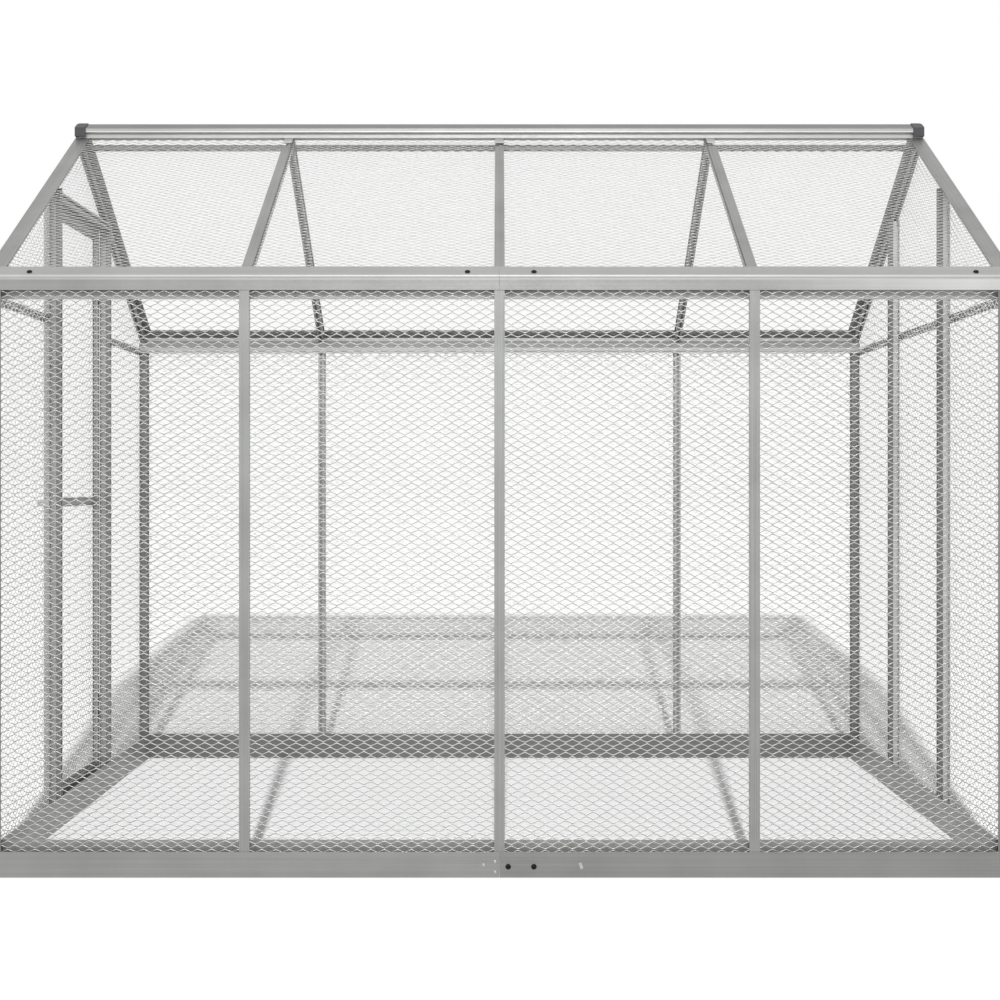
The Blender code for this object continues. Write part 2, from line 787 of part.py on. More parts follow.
def diamonds(field, columns):
    """Diamond gaps of the mesh inside a field. Its strands run at the roof's slope, or near
    it, and meet the field's top left corner, so that few gaps are cut."""
    low_u = min(u for u, v in field)
    high_u = max(u for u, v in field)
    low_v = min(v for u, v in field)
    high_v = max(v for u, v in field)
    width = (high_u - low_u) / columns
    height = width * TAN
    node_v = max(v for u, v in field if u - low_u < NET_SPECK)
    if high_v - node_v < NET_SPECK:
        height = (high_v - low_v) / round((high_v - low_v) / height)
    slant = math.hypot(width, height)
    scale = 1 - NET_STRAND * slant / (width * height)
    half_w = width / 2 * scale
    half_h = height / 2 * scale
    rows = math.ceil((high_v - low_v) / height) * 2
    gaps = []
    for row in range(-rows, rows + 1):
        for column in range(columns + 1):
            shift = 0 if row % 2 else 0.5
            u = low_u + (column + shift) * width
            v = node_v + row * height / 2
            full = [(u - half_w, v), (u, v - half_h), (u + half_w, v), (u, v + half_h)]
            gap = tidy(clip(full, field))
            if len(gap) >= 3 and area(gap) > SMALLEST_GAP_AREA:
                gaps.append(gap)
    return gaps


def net(name, outline, fields, slots, origin, u_axis, v_axis, columns=1):
    rings = [outline] + slots
    for field in fields:
        rings += diamonds(inset(field, NET_EDGE), columns)
    return slab(name, rings, origin, u_axis, v_axis, NET_THICKNESS, GALVANISED)


def rectangle(low_u, high_u, low_v, high_v):
    return [(low_u, low_v), (high_u, low_v), (high_u, high_v), (low_u, high_v)]


def bays(low, high, webs):
    """Stretches of mesh between the webs that divide it."""
    edges = [low]
    for web in webs:
        edges += [web - WEB_ROOM, web + WEB_ROOM]
    edges.append(high)
    return list(zip(edges[0::2], edges[1::2]))


def slotted_net(name, low, high, bottom, top, webs, origin, u_axis, v_axis):
    """One sheet over several bays. Slots take the bars' webs, and the strips at top and
    bottom pass through the windows in the webs."""
    fields = [rectangle(a, b, bottom, top) for a, b in bays(low, high, webs)]
    slots = [
        rectangle(web - WEB_ROOM, web + WEB_ROOM, bottom + NET_EDGE, top - NET_EDGE) for web in webs
    ]
    return net(name, rectangle(low, high, bottom, top), fields, slots, origin, u_axis, v_axis)


def long_wall_net(name, side):
    corner, inward, along, length = WALLS[side]
    set_in = BAR_SET_IN + NET_SET_IN + NET_THICKNESS
    edge = BAR_SET_IN + POST_TUBE + GAP
    webs = [GRID_LINE + index * PITCH_WIDE for index in range(1, BAYS_WIDE)]
    origin = corner + inward * set_in
    slotted_net(name, edge, length - edge, STUD_FOOT_Z, STUD_HEAD_Z, webs, origin, along, Z)


long_wall_net("mesh_front", "front")
long_wall_net("mesh_back", "back")


def roof_net(name, side):
    origin, along, into, up_slope = slope_axes(side)
    edge = GRID_LINE + WEB_ROOM
    webs = [GRID_LINE + index * PITCH_WIDE for index in range(1, BAYS_WIDE)]
    low = RAFTER_FOOT / COS
    high = (RIDGE_LINE - NET_TOP_SETBACK) / COS
    start = origin + into * (NET_SET_IN + NET_THICKNESS)
    slotted_net(name, edge, FRAME_WIDTH - edge, low, high, webs, start, along, up_slope)


roof_net("mesh_roof_front", "front")
roof_net("mesh_roof_back", "back")


# Gable mesh: its top follows the rafters, and it steps round the ends of the eave rails
NET_OUTER = BAR_SET_IN + POST_TUBE + GAP
NET_STEP = RAIL_DEPTH + EAVE_HEM + GAP
NET_STEP_Z = EAVE_HEIGHT - EAVE_LIP_DROP - GAP


def net_top(s):
    return rafter_under(eave_distance(s)) - 2 * GAP


def under_roof(points):
    """Field from the base up to the rafters, between the first and the last of the points."""
    floor = [(points[0], STUD_FOOT_Z), (points[-1], STUD_FOOT_Z)]
    return floor + [(s, net_top(s)) for s in reversed(points)]


def gable_net(name, side, outline, fields, slots, columns=1):
    corner, inward, along, length = WALLS[side]
    origin = corner + inward * (BAR_SET_IN + NET_SET_IN + NET_THICKNESS)
    return net(name, outline, fields, slots, origin, along, Z, columns)


def stepped_start():
    return [
        (NET_STEP, net_top(NET_STEP)),
        (NET_STEP, NET_STEP_Z),
        (NET_OUTER, NET_STEP_Z),
        (NET_OUTER, STUD_FOOT_Z),
    ]


def mirrored(points):
    return [(FRAME_DEPTH - s, z) for s, z in reversed(points)]


stud_lines = [GRID_LINE + PITCH_DEEP, GRID_LINE + 2 * PITCH_DEEP]
near_end, far_end = stud_lines[0] - WEB_ROOM, stud_lines[1] + WEB_ROOM
right_slots = []
for line in stud_lines:
    ends = (line - WEB_ROOM, line + WEB_ROOM)
    low = [(ends[0], STUD_FOOT_Z + NET_EDGE), (ends[1], STUD_FOOT_Z + NET_EDGE)]
    high = [(s, net_top(s) - NET_EDGE / COS) for s in reversed(ends)]
    right_slots.append(low + high)
gable_net(
    "mesh_right",
    "right",
    stepped_start() + mirrored(stepped_start()) + [(RIDGE_LINE, net_top(RIDGE_LINE))],
    [
        under_roof([NET_STEP, near_end]),
        under_roof([stud_lines[0] + WEB_ROOM, RIDGE_LINE, stud_lines[1] - WEB_ROOM]),
        under_roof([far_end, FRAME_DEPTH - NET_STEP]),
    ],
    right_slots,
)
gable_net(
    "mesh_left_back",
    "left",
    stepped_start() + [(near_end, STUD_FOOT_Z), (near_end, net_top(near_end))],
    [under_roof([NET_STEP, near_end])],
    [],
)
gable_net(
    "mesh_left_front",
    "left",
    [(far_end, net_top(far_end)), (far_end, STUD_FOOT_Z)] + mirrored(stepped_start()),
    [under_roof([far_end, FRAME_DEPTH - NET_STEP])],
    [],
)
over_door = [stud_lines[0] + WEB_ROOM, RIDGE_LINE, stud_lines[1] - WEB_ROOM]
over_door_field = [(over_door[0], HEADER_TOP_Z + GAP), (over_door[2], HEADER_TOP_Z + GAP)]
over_door_field += [(s, net_top(s)) for s in reversed(over_door)]
gable_net("mesh_over_door", "left", over_door_field, [over_door_field], [], 2)


# Door leaf: two stiles, three rails and two sheets of mesh, drawn closed
def stile(name, sign):
    if sign > 0:
        origin = Vector((DOOR_OUTER_X, DOOR_HALF, 0))
        ends = (DOOR_BOTTOM_Z, DOOR_TOP_Z)
        return bar(name, door_section(DOOR_STILE), origin, -Y, X, *ends, ALUMINIUM)
    origin = Vector((DOOR_OUTER_X, -DOOR_HALF, 0))
    return bar(name, door_section(DOOR_STILE), origin, Y, X, -DOOR_TOP_Z, -DOOR_BOTTOM_Z, ALUMINIUM)


RAIL_HALF = DOOR_HALF - DOOR_STILE - GAP
hinge_stile = stile("door_stile_hinge", 1)
stile("door_stile_latch", -1)
bar(
    "door_rail_top",
    door_section(DOOR_END_RAIL),
    Vector((DOOR_OUTER_X, 0, DOOR_TOP_Z)),
    -Z,
    X,
    -RAIL_HALF,
    RAIL_HALF,
    ALUMINIUM,
)
bar(
    "door_rail_bottom",
    door_section(DOOR_END_RAIL),
    Vector((DOOR_OUTER_X, 0, DOOR_BOTTOM_Z)),
    Z,
    X,
    -RAIL_HALF,
    RAIL_HALF,
    ALUMINIUM,
)
MID_LOW_Z = DOOR_MID_RAIL_Z - DOOR_MID_RAIL / 2
MID_HIGH_Z = DOOR_MID_RAIL_Z + DOOR_MID_RAIL / 2
bar(
    "door_rail_middle",
    door_section(DOOR_MID_RAIL, 2),
    Vector((DOOR_OUTER_X, 0, MID_LOW_Z)),
    Z,
    X,
    -RAIL_HALF,
    RAIL_HALF,
    ALUMINIUM,
)


def door_net(name, low_z, high_z):
    half = DOOR_HALF - DOOR_STILE + DOOR_LIP - GAP
    depth = DOOR_WALL + (DOOR_GROOVE - NET_THICKNESS) / 2
    origin = Vector((DOOR_OUTER_X + depth, 0, 0))
    outline = rectangle(-half, half, low_z, high_z)
    return net(name, outline, [outline], [], origin, Y, Z, 2)


END_GROOVE = DOOR_END_RAIL - DOOR_LIP + GAP
door_net("door_mesh_lower", DOOR_BOTTOM_Z + END_GROOVE, MID_LOW_Z + DOOR_LIP - GAP)
door_net("door_mesh_upper", MID_HIGH_Z - DOOR_LIP + GAP, DOOR_TOP_Z - END_GROOVE)


# Hinges on the back door stud. The axis is upright, just off the leaf's edge
HINGE_X = DOOR_OUTER_X - HINGE_PLATE + HINGE_BARREL_RADIUS
HINGE_Y = DOOR_HALF + HINGE_EDGE_GAP + HINGE_BARREL_RADIUS
KNUCKLE = HINGE_LENGTH / 3


def hinge(name, middle_z):
    low = middle_z - HINGE_LENGTH / 2
    high = middle_z + HINGE_LENGTH / 2
    outer_x = HINGE_X - HINGE_BARREL_RADIUS
    upright = (HINGE_Y + HINGE_BARREL_RADIUS - HINGE_PLATE, HINGE_Y + HINGE_BARREL_RADIUS)
    foot = keep(
        box_tool(
            name,
            (GABLE_FACE_X - GAP - HINGE_PLATE, STUD_FREE_Y, low),
            (GABLE_FACE_X - GAP, STUD_OUTER_Y, high),
        ),
        name,
        STEEL,
    )
    web = box_tool(
        name + "_upright",
        (HINGE_X, upright[0], low),
        (GABLE_FACE_X - GAP - HINGE_PLATE / 2, upright[1], high),
    )
    combine(foot, web, "UNION")
    barrel = rod_tool(
        name + "_barrel",
        HINGE_BARREL_RADIUS,
        (HINGE_X, HINGE_Y, low),
        (HINGE_X, HINGE_Y, high),
    )
    combine(foot, barrel, "UNION")
    room = box_tool(
        name + "_knuckle_room",
        (outer_x - GAP, DOOR_HALF, middle_z - KNUCKLE / 2 - GAP),
        (GABLE_FACE_X - GAP - HINGE_PLATE, upright[1] + GAP, middle_z + KNUCKLE / 2 + GAP),
    )
    combine(foot, room, "DIFFERENCE")
    pin = rod_tool(
        name + "_pin",
        HINGE_PIN_RADIUS,
        (HINGE_X, HINGE_Y, low - HINGE_PLATE),
        (HINGE_X, HINGE_Y, high + HINGE_PLATE),
    )
    combine(foot, pin, "UNION")


def hinge_leaf(owner, middle_z):
    """The moving half: a plate on the stile's face and one knuckle round the pin."""
    low = middle_z - KNUCKLE / 2
    high = middle_z + KNUCKLE / 2
    outer_x = HINGE_X - HINGE_BARREL_RADIUS
    inner_y = DOOR_HALF - HINGE_LEAF_WIDTH
    plate = box_tool(
        f"{owner.name}_leaf_{middle_z:.2f}",
        (outer_x, inner_y, middle_z - HINGE_LENGTH / 2),
        (DOOR_OUTER_X + DOOR_WALL / 4, DOOR_HALF, middle_z + HINGE_LENGTH / 2),
    )
    combine(owner, plate, "UNION")
    neck = box_tool(
        f"{owner.name}_neck_{middle_z:.2f}",
        (outer_x, DOOR_HALF - HINGE_PLATE, low),
        (outer_x + HINGE_PLATE, HINGE_Y, high),
    )
    combine(owner, neck, "UNION")
    knuckle = rod_tool(
        f"{owner.name}_knuckle_{middle_z:.2f}",
        HINGE_BARREL_RADIUS,
        (HINGE_X, HINGE_Y, low),
        (HINGE_X, HINGE_Y, high),
    )
    combine(owner, knuckle, "UNION")
    bore = rod_tool(
        f"{owner.name}_bore_{middle_z:.2f}",
        HINGE_PIN_RADIUS + GAP,
        (HINGE_X, HINGE_Y, low - HINGE_PLATE),
        (HINGE_X, HINGE_Y, high + HINGE_PLATE),
    )
    combine(owner, bore, "DIFFERENCE")


hinge_heights = (DOOR_BOTTOM_Z + HINGE_FROM_END, DOOR_TOP_Z - HINGE_FROM_END)
hinge("hinge_lower", hinge_heights[0])
hinge("hinge_upper", hinge_heights[1])
hinge_leaf(hinge_stile, hinge_heights[0])
hinge_leaf(hinge_stile, hinge_heights[1])


# Slide bolt on the latch stile and the middle rail, drawn back, and its keeper on the stud
BOLT_X = DOOR_OUTER_X - GAP - LATCH_PLATE - BOLT_STANDS_OFF
BOLT_Z = DOOR_MID_RAIL_Z
PLATE_FACE_X = DOOR_OUTER_X - GAP - LATCH_PLATE
PLATE_START_Y = -DOOR_HALF + GAP
EAR_OUTER_X = BOLT_X - BOLT_RADIUS - HINGE_PLATE


def latch_housing():
    plate = keep(
        box_tool(
            "latch_housing",
            (PLATE_FACE_X, PLATE_START_Y, BOLT_Z - LATCH_PLATE_HEIGHT / 2),
            (DOOR_OUTER_X - GAP, PLATE_START_Y + LATCH_PLATE_LENGTH, BOLT_Z + LATCH_PLATE_HEIGHT / 2),
        ),
        "latch_housing",
        STEEL,
    )
    half_ear = LATCH_EAR_HEIGHT / 2
    for start in (PLATE_START_Y, PLATE_START_Y + LATCH_PLATE_LENGTH - LATCH_EAR_LENGTH):
        ear = box_tool(
            f"latch_ear_{start:.3f}",
            (EAR_OUTER_X, start + GAP, BOLT_Z - half_ear),
            (PLATE_FACE_X + LATCH_PLATE / 2, start + LATCH_EAR_LENGTH - GAP, BOLT_Z + half_ear),
        )
        combine(plate, ear, "UNION")
    bore = rod_tool(
        "latch_bore",
        BOLT_RADIUS + BOLT_CLEARANCE,
        (BOLT_X, PLATE_START_Y - LATCH_EAR_LENGTH, BOLT_Z),
        (BOLT_X, PLATE_START_Y + LATCH_PLATE_LENGTH + LATCH_EAR_LENGTH, BOLT_Z),
    )
    combine(plate, bore, "DIFFERENCE")


def latch_bolt():
    start_y = -DOOR_HALF + 2 * GAP
    knob_y = PLATE_START_Y + LATCH_PLATE_LENGTH * KNOB_SHARE
    rod = keep(
        rod_tool(
            "latch_bolt",
            BOLT_RADIUS,
            (BOLT_X, start_y, BOLT_Z),
            (BOLT_X, start_y + BOLT_LENGTH, BOLT_Z),
        ),
        "latch_bolt",
        STEEL,
    )
    knob = rod_tool(
        "latch_knob",
        KNOB_RADIUS,
        (BOLT_X, knob_y, BOLT_Z),
        (BOLT_X - KNOB_LENGTH, knob_y, BOLT_Z),
    )
    combine(rod, knob, "UNION")


def latch_keeper():
    foot = keep(
        box_tool(
            "latch_keeper",
            (GABLE_FACE_X - GAP - HINGE_PLATE, -STUD_OUTER_Y, BOLT_Z - KEEPER_FOOT_HEIGHT / 2),
            (GABLE_FACE_X - GAP, -STUD_FREE_Y, BOLT_Z + KEEPER_FOOT_HEIGHT / 2),
        ),
        "latch_keeper",
        STEEL,
    )
    middle_y = -(STUD_FREE_Y + STUD_OUTER_Y) / 2
    inner_x = GABLE_FACE_X - GAP - HINGE_PLATE / 2
    stand = box_tool(
        "latch_keeper_stand",
        (EAR_OUTER_X, middle_y - KEEPER_THICKNESS / 2, BOLT_Z - KEEPER_HEIGHT / 2),
        (inner_x, middle_y + KEEPER_THICKNESS / 2, BOLT_Z + KEEPER_HEIGHT / 2),
    )
    combine(foot, stand, "UNION")
    room = BOLT_RADIUS + KEEPER_CLEARANCE
    hole = box_tool(
        "latch_keeper_hole",
        (BOLT_X - room, middle_y - 2 * KEEPER_THICKNESS, BOLT_Z - room),
        (BOLT_X + room, middle_y + 2 * KEEPER_THICKNESS, BOLT_Z + room),
    )
    combine(foot, hole, "DIFFERENCE")


latch_housing()
latch_bolt()
latch_keeper()


# Joint places: the leaf turns about an upright axis, and the bolt slides in the leaf
def set_origin(made, place):
    shift = Matrix.Translation(-Vector(place)) @ made.matrix_world
    made.data.transform(shift)
    made.matrix_world = Matrix.Translation(place)


door_axis = (HINGE_X, HINGE_Y, 0)
for name in (
    "door_stile_hinge",
    "door_stile_latch",
    "door_rail_top",
    "door_rail_middle",
    "door_rail_bottom",
    "door_mesh_lower",
    "door_mesh_upper",
    "latch_housing",
):
    set_origin(bpy.data.objects[name], door_axis)
set_origin(bpy.data.objects["latch_bolt"], (BOLT_X, -DOOR_HALF, BOLT_Z))
bpy.context.view_layer.update()

print(f"door axis x {HINGE_X:.5f} y {HINGE_Y:.5f}")
print(f"bolt axis x {BOLT_X:.5f} z {BOLT_Z:.5f}")
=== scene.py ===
# %% [markdown]
# # A walk-in bird cage
# The real cage is an outdoor aviary: a frame of extruded aluminium bars, bolted together, with
# diamond mesh let into the grooves of the bars on every side and on the roof, and a door in the
# left gable. The measured frame comes from the CAD model, so every bar is already in its place.
# This notebook gives the bars their finish, stretches real mesh into the grooves, adds the
# fasteners, and lights it all like a studio picture.

# %% Load the frame and keep its box
import math

import bmesh
import bpy
import numpy as np
from mathutils import Matrix, Vector


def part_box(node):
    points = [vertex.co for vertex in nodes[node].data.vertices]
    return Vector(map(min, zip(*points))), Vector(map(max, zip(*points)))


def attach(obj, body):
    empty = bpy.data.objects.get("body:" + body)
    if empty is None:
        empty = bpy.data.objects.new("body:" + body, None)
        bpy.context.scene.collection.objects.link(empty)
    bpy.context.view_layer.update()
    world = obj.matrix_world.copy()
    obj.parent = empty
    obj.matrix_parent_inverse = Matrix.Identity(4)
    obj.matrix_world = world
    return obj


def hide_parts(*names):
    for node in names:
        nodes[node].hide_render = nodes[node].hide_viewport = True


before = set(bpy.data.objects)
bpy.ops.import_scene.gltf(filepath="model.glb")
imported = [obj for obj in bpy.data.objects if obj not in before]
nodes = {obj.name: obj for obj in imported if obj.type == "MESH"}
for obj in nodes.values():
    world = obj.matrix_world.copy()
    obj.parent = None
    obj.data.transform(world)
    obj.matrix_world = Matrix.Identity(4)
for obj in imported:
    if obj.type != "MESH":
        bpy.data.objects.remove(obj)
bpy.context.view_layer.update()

# %% [markdown]
# ## Camera
# The picture was taken level, from the front and about 0.9 m above the ground: all uprights are
# parallel, and the base rail shows no more of its top than a camera at that height sees. A pixel
# is turned to a place through one point and one scale: at the front studs, 429 pixels of the
# 1000 pixel picture are one metre. The camera is 4.03 m in front of those studs, which is what
# the ratio of the front bay to the back bay gives.

# %% Camera at the photograph's view
PICTURE = 1000
PIXELS_PER_METRE = 429.0
STUD_FACE_Y = -0.8877
CAMERA_AWAY = 4.03
CAMERA_HEIGHT = 0.922
SENSOR = 36.0
EYE_LEVEL_X, EYE_LEVEL_Y = 499.5, 481.8
FARTHEST_SEEN = 200

camera_data = bpy.data.cameras.new("camera")
camera_data.sensor_width = SENSOR
camera_data.lens = SENSOR * PIXELS_PER_METRE * CAMERA_AWAY / PICTURE
camera_data.shift_x = (PICTURE / 2 - EYE_LEVEL_X) / PICTURE
camera_data.shift_y = (EYE_LEVEL_Y - PICTURE / 2) / PICTURE
camera_data.clip_end = FARTHEST_SEEN
camera = bpy.data.objects.new("camera", camera_data)
camera.location = (0, STUD_FACE_Y - CAMERA_AWAY, CAMERA_HEIGHT)
camera.rotation_euler = (math.pi / 2, 0, 0)
bpy.context.scene.collection.objects.link(camera)
bpy.context.scene.camera = camera
bpy.context.scene.view_settings.view_transform = "Standard"
print("lens, mm:", round(camera_data.lens, 2))


def place_at(pixel_x, pixel_y, y):
    """Place of a pixel of the picture, on the upright plane at that y."""
    scale = (y - camera.location.y) / (PIXELS_PER_METRE * CAMERA_AWAY)
    x = (pixel_x - EYE_LEVEL_X) * scale
    return Vector((x, y, CAMERA_HEIGHT - (pixel_y - EYE_LEVEL_Y) * scale))


# %% [markdown]
# ## Two helpers for materials
# Colours are picked as sRGB hex values, as on a screen. Blender's shaders work in linear
# light, so one function turns them over. A second one adds a node, sets it and links it, so that
# a material reads from top to bottom like a recipe.

# %% Colour and node helpers
def linear(hex_colour):
    """An sRGB hex colour as linear red, green, blue and alpha."""
    channels = [int(hex_colour[i:i + 2], 16) / 255 for i in (1, 3, 5)]
    return [c / 12.92 if c <= 0.04045 else ((c + 0.055) / 1.055) ** 2.4 for c in channels] + [1.0]


def add_node(tree, kind, inputs=None, **settings):
    """Adds a node. Each input is a value, or the output of another node, which is linked."""
    node = tree.nodes.new(kind)
    for name, value in settings.items():
        setattr(node, name, value)
    for name, value in (inputs or {}).items():
        if isinstance(value, bpy.types.NodeSocket):
            tree.links.new(value, node.inputs[name])
        else:
            node.inputs[name].default_value = value
    return node


def new_material(name):
    """A material with only an output node, and its tree."""
    material = bpy.data.materials.new(name)
    material.use_nodes = True
    tree = material.node_tree
    tree.nodes.clear()
    return material, tree


print("mid grey in linear light:", round(linear("#808080")[0], 3))

# %% [markdown]
# ## Light
# A product picture like this one is lit by one lamp in front and above, whose long shadow lies on
# the floor behind the cage, and by white walls all round. The lamp's place comes from that
# shadow: the ridge's shadow is 2.92 times as far from the camera as the front studs, and 1.73
# times as long as the ridge itself. Bare metal has no colour of its own to show, it shows the
# room, so the room is white for reflections, and weaker for plain light, so that no pale surface
# burns out. Two lamps stand at that one place. A wide one lights the cage, at a plain level, and
# leaves no hard shadow of one bar on another. A small bulb only lights the floor, all round, so
# that the shadow can be as deep and as sharp as in the picture. Their light doesn't fade with
# distance, which keeps the far floor even.

# %% Lamps
LAMP_PLACE = Vector((0, -9.6, 4.6))
CAGE_MIDDLE = Vector((0, 0, 0.9))
CAGE_LAMP, CAGE_LAMP_SIZE = 3.6, 3.0
FLOOR_LAMP, FLOOR_LAMP_SIZE = 240.0, 0.22
ROOM_LIGHT = 0.50


def studio_lamp(name, kind, strength):
    """A lamp aimed at the cage, whose light doesn't fade with distance."""
    data = bpy.data.lights.new(name, kind)
    data.energy = 1.0
    data.use_nodes = True
    tree = data.node_tree
    tree.nodes.clear()
    even = add_node(tree, "ShaderNodeLightFalloff", {"Strength": strength})
    glow = add_node(tree, "ShaderNodeEmission", {"Strength": even.outputs["Constant"]})
    add_node(tree, "ShaderNodeOutputLight", {"Surface": glow.outputs[0]})
    lamp = bpy.data.objects.new(name, data)
    lamp.location = LAMP_PLACE
    lamp.rotation_euler = (CAGE_MIDDLE - LAMP_PLACE).to_track_quat("-Z", "Y").to_euler()
    bpy.context.scene.collection.objects.link(lamp)
    return lamp


cage_lamp = studio_lamp("cage_lamp", "AREA", CAGE_LAMP)
cage_lamp.data.shape = "DISK"
cage_lamp.data.size = CAGE_LAMP_SIZE
floor_lamp = studio_lamp("floor_lamp", "POINT", FLOOR_LAMP)
floor_lamp.data.shadow_soft_size = FLOOR_LAMP_SIZE / 2
print("lamp height, m:", cage_lamp.location.z)

# %% [markdown]
# ## White room
# White walls all round could be built, but the world does it without any. It is fully white to
# the camera and in reflections, and half as strong as plain light, so that the lamp still shapes
# the bars. A light path node tells the two apart. The floor needs the same test, so it is a
# function.

# %% World
def seen_or_mirrored(tree):
    """1 for camera, mirror and glass rays, 0 for the rays that carry plain light."""
    path = add_node(tree, "ShaderNodeLightPath")
    seen = path.outputs["Is Camera Ray"]
    for name in ("Is Glossy Ray", "Is Transmission Ray"):
        seen = add_node(
            tree, "ShaderNodeMath", {0: seen, 1: path.outputs[name]}, operation="MAXIMUM"
        ).outputs[0]
    return seen


world = bpy.data.worlds.new("white_room")
bpy.context.scene.world = world
world.use_nodes = True
room = world.node_tree
room.nodes.clear()
room_level = add_node(
    room,
    "ShaderNodeMapRange",
    {"Value": seen_or_mirrored(room), "To Min": ROOM_LIGHT, "To Max": 1.0},
)
white = add_node(
    room, "ShaderNodeBackground", {"Color": linear("#FFFFFF"), "Strength": room_level.outputs[0]}
)
add_node(room, "ShaderNodeOutputWorld", {"Surface": white.outputs[0]})
print("room light:", ROOM_LIGHT)

# %% [markdown]
# ## Floor
# The picture's floor is seamless white paper that keeps the shadows. Real paper gets less light
# the flatter the lamp shines on it, and a studio evens that out with more lamps. Here the paper's
# tone does it: it grows as the lamp's angle falls, so that the lamp's share of the light is the
# same everywhere. What the lamp and the room leave dark is lifted to white, so the floor is
# exactly white in the light, and as grey as the picture's in the shadow.

# %% Floor that keeps the shadow
FLOOR_HALF = 60.0
FLOOR_DROP = 0.0005
LAMP_SHARE = 0.72
PALEST_PAPER = 0.9
SPARE_WHITE = 0.02

floor_mesh = bpy.data.meshes.new("floor")
corners = [(-1, -1), (1, -1), (1, 1), (-1, 1)]
places = [(FLOOR_HALF * a, FLOOR_HALF * b, -FLOOR_DROP) for a, b in corners]
floor_mesh.from_pydata(places, [], [(0, 1, 2, 3)])
floor = bpy.data.objects.new("floor", floor_mesh)
bpy.context.scene.collection.objects.link(floor)
paper, tree = new_material("white_paper_floor")
here = add_node(tree, "ShaderNodeNewGeometry")
lamp_distance = add_node(
    tree,
    "ShaderNodeVectorMath",
    {0: here.outputs["Position"], 1: tuple(LAMP_PLACE)},
    operation="DISTANCE",
).outputs["Value"]
# A bulb whose light doesn't fade gives its strength over 4 pi squared, to paper that faces it.
floor_light = FLOOR_LAMP / (4 * math.pi ** 2)
tone = add_node(
    tree,
    "ShaderNodeMath",
    {0: lamp_distance, 1: LAMP_SHARE / (floor_light * LAMP_PLACE.z)},
    operation="MULTIPLY",
).outputs[0]
tone = add_node(
    tree, "ShaderNodeMath", {0: tone, 1: PALEST_PAPER}, operation="MINIMUM"
).outputs[0]
lamp_reach = add_node(
    tree, "ShaderNodeMath", {0: floor_light * LAMP_PLACE.z, 1: lamp_distance}, operation="DIVIDE"
).outputs[0]
all_light = add_node(
    tree, "ShaderNodeMath", {0: lamp_reach, 1: ROOM_LIGHT}, operation="ADD"
).outputs[0]
shown = add_node(
    tree, "ShaderNodeMath", {0: tone, 1: all_light}, operation="MULTIPLY"
).outputs[0]
unlit = add_node(
    tree, "ShaderNodeMath", {0: 1 + SPARE_WHITE, 1: shown}, operation="SUBTRACT"
).outputs[0]
lift = add_node(
    tree, "ShaderNodeMath", {0: seen_or_mirrored(tree), 1: unlit}, operation="MULTIPLY"
)
matt = add_node(tree, "ShaderNodeBsdfDiffuse", {"Color": tone})
lifted = add_node(tree, "ShaderNodeEmission", {"Strength": lift.outputs[0]})
both = add_node(tree, "ShaderNodeAddShader", {0: matt.outputs[0], 1: lifted.outputs[0]})
add_node(tree, "ShaderNodeOutputMaterial", {"Surface": both.outputs[0]})
floor_mesh.materials.append(paper)
print("floor light:", round(floor_light, 2))

# %% [markdown]
# Each lamp lights only its own share: the bulb the floor, and the wide lamp all but the floor.
# Blender calls this light linking. A collection lists what a lamp reaches, or leaves out.

# %% What each lamp reaches
only_floor = bpy.data.collections.new("only_floor")
only_floor.objects.link(floor)
floor_lamp.light_linking.receiver_collection = only_floor
no_floor = bpy.data.collections.new("no_floor")
no_floor.objects.link(floor)
cage_lamp.light_linking.receiver_collection = no_floor
no_floor.collection_objects[0].light_linking.link_state = "EXCLUDE"
print("lamps linked")

# %% [markdown]
# ## Mill-finish aluminium
# The bars are extruded: hot aluminium is pressed through a steel die, which leaves fine lines
# along the bar, and a thin grey oxide that is a little blotchy. Nothing is painted. So the finish
# has three layers: die lines 3 mm apart and over a metre long (real ones are finer, about
# 0.5 mm, too fine to show here), clouds of oxide 150 mm across, and edges rubbed brighter by
# handling. The lines run along each bar, so each direction of bar has its own turn of the same
# recipe: the texture's space is turned until its Z lies along the bar.
#
# Bars from different billets differ in tone. A zone gives one face of a section its own two tones,
# which paint light or shade on it: the bead along the eave, the lip below it, the inner edge of
# the base rail, the channel of an upright.

# %% Aluminium for one direction of bar
DIE_LINE = 0.0030
DIE_RUN = 1.20
OXIDE_CLOUD = 0.150
OXIDE_SPECK = 0.006
WORN_EDGE = 0.0012
RUBBED = "#D4D5D2"
LINE_DEPTH = 0.0004
SATIN = (0.38, 0.56)
# Bare aluminium has a metallic value of 1. The oxide on these bars scatters about half the light.
OXIDE_METALLIC = 0.55
CRISP = 0.0003


